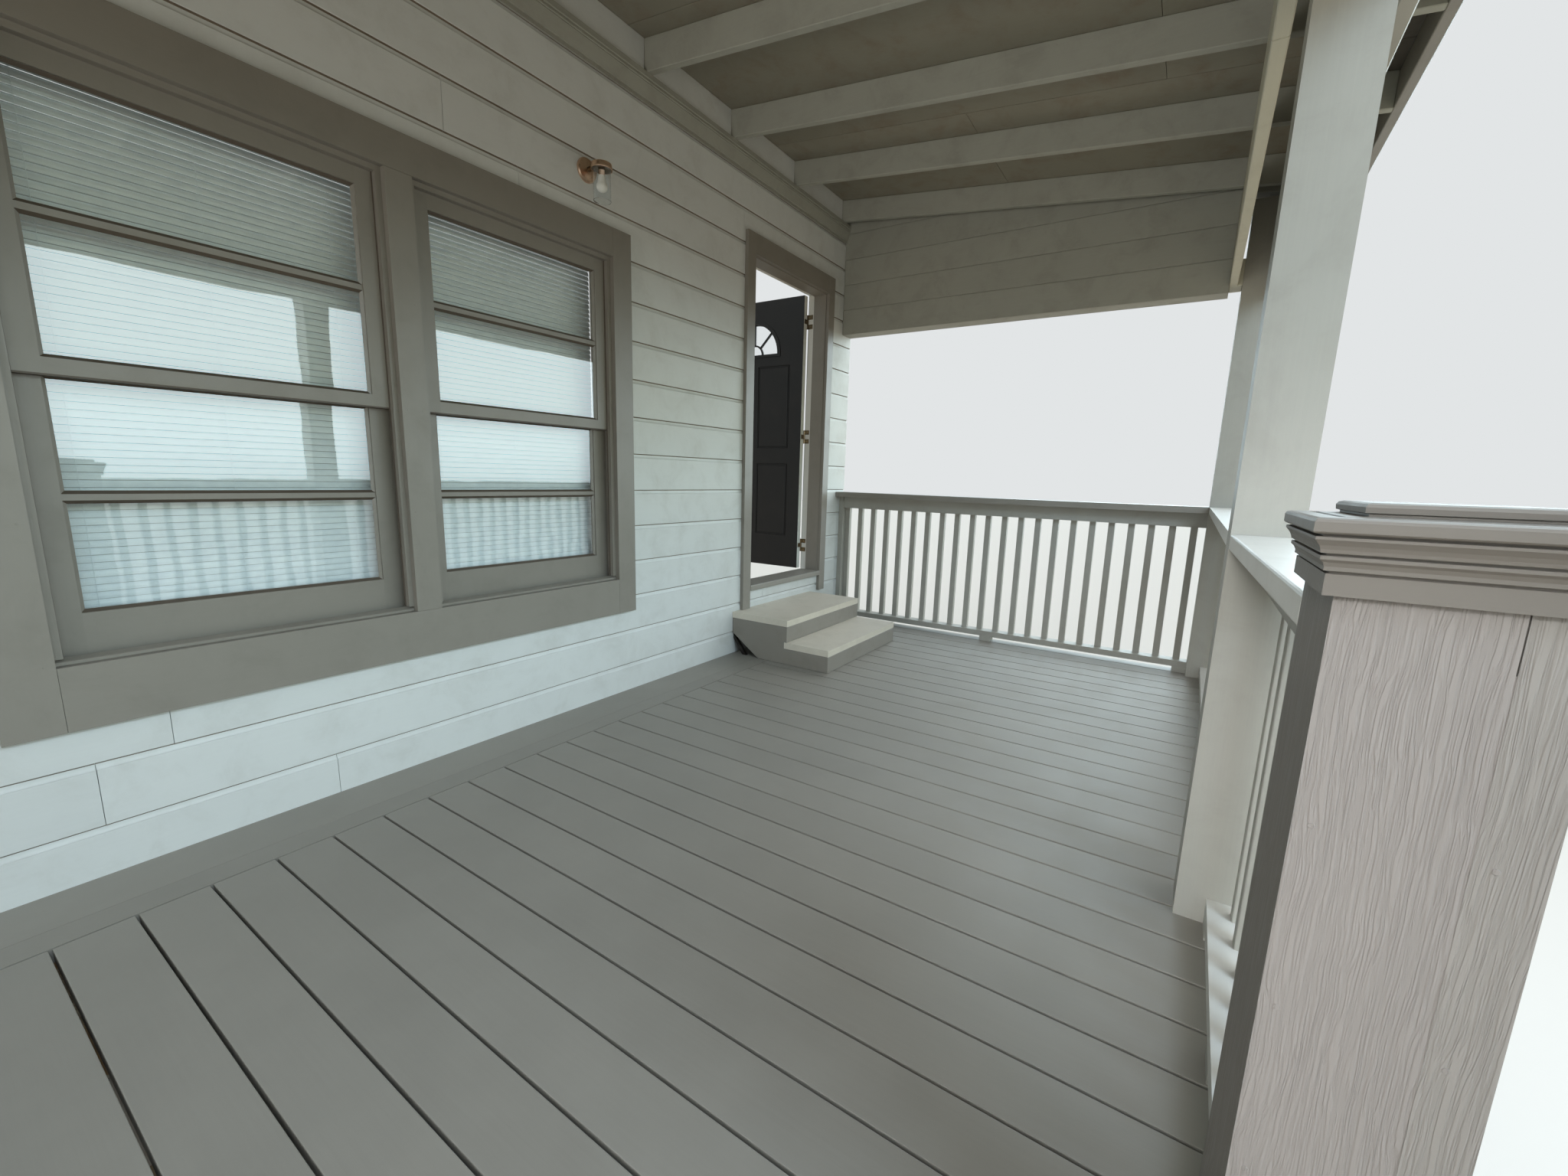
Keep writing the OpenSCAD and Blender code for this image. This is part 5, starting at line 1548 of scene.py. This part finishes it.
def buildFrontSteps():
    spec = frontStep
    half, inset = spec["gap"] / 2, spec["nailInset"]
    part = newPart()
    for lo, hi in solidsOf("front_treads"):
        middle = (lo.y + hi.y) / 2
        addBlock(part, lo, (hi.x, middle - half, hi.z), spec["noseEase"], 2)
        addBlock(part, (lo.x, middle + half, lo.z), hi, spec["backEase"], 2)
        nailTread(part, lo, hi, (lo.y + inset, middle - inset, middle + inset, hi.y - inset))
    closePart(part, "front_step_treads", paintedIn("deck x"), ["front_treads"])
    blocksOfNode("front_risers", "front_step_risers", paintedIn("trim x"), spec["riserEase"])
    closePart(slicedNode("front_stringers", spec["stringerEase"]), "front_step_stringers",
              paintedIn("trim y"), ["front_stringers"])


buildFrontSteps()

print("Roof")

ledgerMoulding = {"foot": 0.01, "strip": 0.013, "groove": 0.004, "grooveSteps": (0.3, 1, 1.6),
                  "sunk": 0.7, "leanFoot": 1.3, "leanHead": 0.86, "bead": 0.009, "beadFoot": 0.8,
                  "beadOut": 0.94, "beadRise": 0.002, "quirk": 0.003, "cove": 0.008, "topBand": 0.04,
                  "ease": 0.0006}


def buildLedger():
    # A leaning face between a strip along its foot and two beads along its head
    spec = ledgerMoulding
    lo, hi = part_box("wall_ledger")
    foot, groove, quirk, out = spec["foot"], spec["groove"], spec["quirk"], hi.y - lo.y
    low = lo.z + spec["strip"]
    head = hi.z - spec["topBand"]
    top = head + spec["bead"]
    sunk, lean, bead = foot * spec["sunk"], out * spec["leanHead"], out * spec["beadOut"]
    lip, bottom, rise = (low + groove * share for share in spec["grooveSteps"])
    steps = [(0, lo.z), (foot, lo.z), (foot, low), (sunk, lip), (sunk, bottom),
             (foot * spec["leanFoot"], rise), (lean, head - groove), (out * spec["beadFoot"], head),
             (bead, head + spec["beadRise"]), (bead, top), (lean, top + quirk), (lean, top + quirk * 2),
             (out, top + spec["cove"]), (out, hi.z), (0, hi.z)]
    part = newPart()
    addPrism(part, [(hi.y - depth, z) for depth, z in steps], lo.x, hi.x, "x", spec["ease"])
    closePart(part, "wall_ledger_board", paintedIn("frame x"), ["wall_ledger"])


buildLedger()
for node, name, ease, wish, slotName in (
        ("rafters", "rafter_boards", 0.003, "frame y", "frame_paint"),
        ("rafter_blocking", "blocking_boards", 0.0015, "siding x", "siding")):
    closePart(slicedNode(node, ease), name, paintedIn(wish), [node])

beamBoards = {"lowHeight": 0.286, "seam": 0.0016, "ease": 0.003, "lowJoint": 0.21, "highJoint": -1.05,
              "eaveEase": 0.003}


def buildBeams():
    # Two boards stand one on the other on each side of the posts, with butt joints in each row
    spec = beamBoards
    part = newPart()
    half = spec["seam"] / 2
    # The inner boards take the lighter beam paint and the outer boards the rail paint: painted light on the
    # inner boards
    for side in (1, -1):
        feet = [lo.z for lo, hi in solidsOf("beam_boards") if (lo.y + hi.y) / 2 * side > postLine * side]
        seam = min(feet) + spec["lowHeight"]
        for row, joint in ((1, spec["lowJoint"] * side), (-1, spec["highJoint"] * side)):
            for way in (1, -1):
                cuts = [cutAt("y", postLine, -side), cutAt("z", seam - row * half, row),
                        cutAt("x", joint - way * half, way)]
                joinPart(part, slicedNode("beam_boards", spec["ease"], int(side < 0), cuts))
    closePart(part, "beam_pair", paintedIn("beam x", "rail x"), ["beam_boards"])
    closePart(slicedNode("eave_boards", spec["eaveEase"]), "eave_and_rake_boards", paintedIn("trim x"),
              ["eave_boards"])


buildBeams()

panelBoards = {"course": 0.178, "gap": 0.0025, "skin": 0.012, "ease": 0.0025}


def buildEndPanels():
    # A core in each end panel, with boards laid over both of its faces
    spec = panelBoards
    skin, half = spec["skin"], spec["gap"] / 2
    lo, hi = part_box("end_panels")
    part = newPart()
    faces = sorted({round(value, 4) for pair in solidsOf("end_panels") for value in (pair[0].x, pair[1].x)})
    for left, right in (faces[:2], faces[2:]):
        core = [cutAt("x", right - skin * 0.5, 1), cutAt("x", left + skin * 0.5, -1)]
        joinPart(part, slicedNode("end_panels", 0, 0, core))
        bottom = lo.z
        while bottom < hi.z:
            top = bottom + spec["course"]
            for outer, inner in ((left, left + skin), (right - skin, right)):
                cuts = [cutAt("x", outer, -1), cutAt("x", inner, 1)]
                if bottom > lo.z:
                    cuts.append(cutAt("z", bottom + half, -1))
                cuts.append(cutAt("z", top - half, 1))
                joinPart(part, slicedNode("end_panels", spec["ease"], 0, cuts))
            bottom = top
    closePart(part, "end_panel_boards", paintedIn("frame y"), ["end_panels"])


buildEndPanels()

sheetBoards = {"width": 1.2, "gap": 0.003, "first": 0.75, "least": 0.2, "seams": (1.2, 2.1), "ease": 0.001}


def buildRoofBoards():
    # Sheets that show from below, with a darker paint where they run out past the beams: painted shade on
    # the overhang
    spec = sheetBoards
    half = spec["gap"] / 2
    lo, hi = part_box("roof_boards")
    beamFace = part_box("beam_boards")[0].y
    part = newPart()
    edges = [lo.x]
    mark = lo.x + spec["first"]
    while mark < hi.x - spec["least"]:
        edges.append(mark)
        mark += spec["width"]
    edges.append(hi.x)
    for index, (left, right) in enumerate(zip(edges, edges[1:])):
        seam = sidingFace - spec["seams"][index % 2]
        for back, front, finish in ((hi.y, seam, 0), (seam, beamFace, 0), (beamFace, lo.y, 1)):
            cuts = [cutAt("x", left + half, -1), cutAt("x", right - half, 1), cutAt("y", back - half, 1),
                    cutAt("y", front, -1)]
            joinPart(part, slicedNode("roof_boards", spec["ease"], finish, cuts))
    closePart(part, "roof_sheets", paintedIn("ceiling y", "soffit y"), ["roof_boards"])


buildRoofBoards()

roofShingles = {"width": 0.33, "exposure": 0.143, "length": 0.3, "thick": 0.0032, "slit": 0.004,
                "felt": 0.003, "clear": 0.0006, "edge": 0.0004, "overhang": 0.004, "shake": 0.004,
                "lift": 0.6}
wallFlashing = {"thick": 0.0006, "bend": 0.0004, "up": 0.1, "down": 0.09, "over": 0.0008, "endInset": 0.002}


def buildCovering():
    # Laid flat on a felt sheet first, trimmed to the roof, then tipped up to its slope
    spec = roofShingles
    lo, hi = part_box("roof_covering")
    corners = [vert.co for vert in cadNodes["roof_covering"].data.vertices]
    front = [spot.z for spot in corners if abs(spot.y - lo.y) < 1e-4]
    frontTop, backTop = max(front), max(spot.z for spot in corners if abs(spot.y - hi.y) < 1e-4)
    slope = math.atan((backTop - frontTop) / (hi.y - lo.y))
    thick = (frontTop - min(front)) * math.cos(slope)
    run = (hi.y - lo.y) / math.cos(slope)
    felt, tab, length = spec["felt"], spec["thick"], spec["length"]
    flat = newPart()
    addBlock(flat, (lo.x, 0, -thick), (hi.x, run, -thick + felt), 0, 1, 0, 0.3)
    tilt = math.atan(spec["lift"] * (thick - felt - tab) / length)
    rise = -thick + felt + tab * 0.5 + length * math.tan(tilt)
    mesh = grown(laidBars, {"Count": math.ceil((hi.x - lo.x) / spec["width"]) + 1,
                 "Rows": math.ceil(run / spec["exposure"]), "Step": (spec["width"], 0.0, 0.0),
                 "Start": (lo.x, spec["overhang"], rise + spec["clear"]),
                 "Row Step": (0.0, spec["exposure"], 0.0),
                 "Stagger": (-spec["width"] / 2, 0.0, 0.0), "Width": spec["width"] - spec["slit"],
                 "Depth": tab, "Length": length, "Edge": spec["edge"],
                 "Turn": (-math.pi / 2 - tilt, 0.0, 0.0), "Shake": (0.0, spec["shake"], 0.0), "Seed": 61})
    tabs = newPart()
    addMesh(tabs, mesh)
    for axis, value, way in (("x", lo.x, -1), ("x", hi.x, 1), ("y", run, 1), ("y", 0.0, -1)):
        trimPart(tabs, *cutAt(axis, value, way))
    joinPart(flat, tabs)
    place = Matrix.Translation((0, lo.y, frontTop)) @ Matrix.Rotation(slope, 4, "X")
    bmesh.ops.transform(flat, matrix=place, verts=flat.verts)
    part = newPart()
    joinPart(part, flat)
    closePart(part, "roof_shingles", [shingleGrit], ["roof_covering"])
    buildFlashing(hi.y, backTop, math.tan(slope))


def buildFlashing(wallY, roofZ, fall):
    # A bent strip of zinc where the roof meets the wall
    spec = wallFlashing
    leaf, down, base = spec["thick"], spec["down"], roofZ + spec["over"]
    top, low = base + spec["up"], base - down * fall
    outline = [(wallY - leaf, base), (wallY - leaf, top), (wallY, top), (wallY, base),
               (wallY, base - spec["bend"]), (wallY - down, low), (wallY - down, low + leaf),
               (wallY - leaf * 2, base + leaf)]
    sheet = newPart()
    addPrism(sheet, outline, wallLeft + spec["endInset"], wallRight - spec["endInset"], "x", 0)
    closePart(sheet, "wall_flashing", [dullZinc])


buildCovering()

print("Camera, light and floor")

photoView = {"place": (-1.946, -2.493, 1.749), "turn": (79.83858, -1.58594, -56.85696), "lens": 14.271,
             "sensor": 36.0}
lens = bpy.data.cameras.new("photoCamera")
lens.lens = photoView["lens"]
lens.sensor_width = photoView["sensor"]
lens.clip_start = 0.02
lens.clip_end = 200
camera = bpy.data.objects.new("photoCamera", lens)
camera.location = photoView["place"]
camera.rotation_euler = [math.radians(angle) for angle in photoView["turn"]]
bpy.context.scene.collection.objects.link(camera)
bpy.context.scene.camera = camera

studio = {"skyHigh": (1.7, 1.64, 1.62, 1), "skyLow": (2.9, 3.7, 4.0, 1), "horizon": (1.65, 1.85, 1.4, 1),
          "leftSky": (0.9, 1.05, 1.15, 1), "rightSky": (2.0, 2.35, 2.3, 1), "mirrored": (4.8, 5.8, 6.2, 1),
          "behind": 0.06, "backdrop": shade(226, 229, 230), "floorSeen": shade(206, 205, 201),
          "floorGlow": (0.5, 0.42, 0.31, 1), "floorSize": 40, "floorDrop": 0.002}
# Each lamp: its place, the spot it is turned to, its width and height, its power, tone and spread
softLamps = {
    "sideSoftbox": ((-6.5, -0.9, 1.0), (0.0, -2.65, 0.9), (3.0, 1.8), 130.0, (1.0, 0.98, 0.93), 180),
    "narrowSoftbox": ((-6.0, -1.75, 3.7), (-0.4, -2.6, 1.1), (1.4, 1.0), 7.0, (0.97, 0.99, 1.0), 28),
    "topSoftbox": ((-2.2, -5.5, 4.6), (-0.9, -2.6, 0.9), (2.0, 2.0), 150.0, (0.6, 0.8, 1.0), 180)}
# Each pair says where a part of the sky starts to show and where it shows in full
skyEdges = {"high": (0.38, 0.55), "beside": (0.35, 0.75), "left": (0.2, 0.32), "right": (-0.1, 0.1),
            "ahead": (0.18, 0.32), "front": (0.0, 0.45), "ground": (-0.12, 0.05)}


def buildWorld():
    # Camera rays meet a plain backdrop; the rest meet a soft sky before the house, brighter at eye level
    world = bpy.data.worlds.new("studioWorld")
    bpy.context.scene.world = world
    world.use_nodes = True
    graph = Graph(world.node_tree)
    sky = world.node_tree.nodes["Background"]
    way = graph.add("ShaderNodeTexCoord").outputs["Generated"]
    parts = graph.add("ShaderNodeSeparateXYZ", {"Vector": way}).outputs
    high = graph.window(parts["Z"], *skyEdges["high"])
    beside = graph.window(graph.maths("ABSOLUTE", parts["X"]), *skyEdges["beside"])
    dark = (0.0, 0.0, 0.0, 1)
    left = graph.blend(graph.window(parts["Z"], *skyEdges["left"]), dark, studio["leftSky"])
    ends = graph.blend(graph.window(parts["X"], *skyEdges["right"]), left, studio["rightSky"])
    ahead = graph.blend(graph.window(parts["Z"], *skyEdges["ahead"]), studio["horizon"],
                        studio["skyLow"])
    low = graph.blend(beside, ahead, ends)
    soft = graph.blend(high, low, studio["skyHigh"])
    rays = graph.add("ShaderNodeLightPath").outputs
    whole = graph.blend(rays["Is Glossy Ray"], soft, studio["mirrored"])
    front = graph.raised(1.0, graph.window(parts["Y"], *skyEdges["front"]), studio["behind"] - 1.0)
    shown = graph.times(front, graph.window(parts["Z"], *skyEdges["ground"]))
    graph.feed(sky.inputs["Color"], whole)
    graph.feed(sky.inputs["Strength"], shown)
    seen = graph.add("ShaderNodeBackground", {"Color": studio["backdrop"], "Strength": 1.0})
    direct = graph.maths("MAXIMUM", rays["Is Camera Ray"], rays["Is Transmission Ray"])
    mixed = graph.add("ShaderNodeMixShader", {0: direct, 1: sky.outputs[0], 2: seen.outputs[0]})
    graph.feed(world.node_tree.nodes["World Output"].inputs["Surface"], mixed.outputs[0])


def buildFloor():
    part = bmesh.new()
    bmesh.ops.create_grid(part, x_segments=1, y_segments=1, size=studio["floorSize"])
    mesh = bpy.data.meshes.new("studioFloor")
    part.to_mesh(mesh)
    part.free()
    material = bpy.data.materials.new("studioFloor")
    material.use_nodes = True
    graph = Graph(material.node_tree)
    shader = material.node_tree.nodes["Principled BSDF"]
    rays = graph.add("ShaderNodeLightPath").outputs
    direct = graph.maths("MAXIMUM", rays["Is Camera Ray"], rays["Is Glossy Ray"])
    direct = graph.maths("MAXIMUM", direct, rays["Is Transmission Ray"])
    graph.feed(shader.inputs["Base Color"], graph.blend(direct, studio["floorGlow"], studio["floorSeen"]))
    shader.inputs["Roughness"].default_value = 0.95
    mesh.materials.append(material)
    floor = bpy.data.objects.new("studioFloor", mesh)
    floor.location.z = cadLo.z - studio["floorDrop"]
    bpy.context.scene.collection.objects.link(floor)


def softLamp(name, place, target, size, power, tone, spread):
    light = bpy.data.lights.new(name, "AREA")
    light.color = tone
    light.spread = math.radians(spread)
    light.shape = "RECTANGLE"
    light.size, light.size_y = size
    light.energy = power
    lamp = bpy.data.objects.new(name, light)
    lamp.location = place
    lamp.rotation_euler = (Vector(target) - Vector(place)).to_track_quat("-Z", "Y").to_euler()
    lamp.visible_camera = False
    lamp.visible_glossy = False
    lamp.visible_transmission = False
    bpy.context.scene.collection.objects.link(lamp)


buildWorld()
buildFloor()
for lampName, lampValues in softLamps.items():
    softLamp(lampName, *lampValues)
bpy.context.scene.view_settings.view_transform = "Standard"

print("Done")
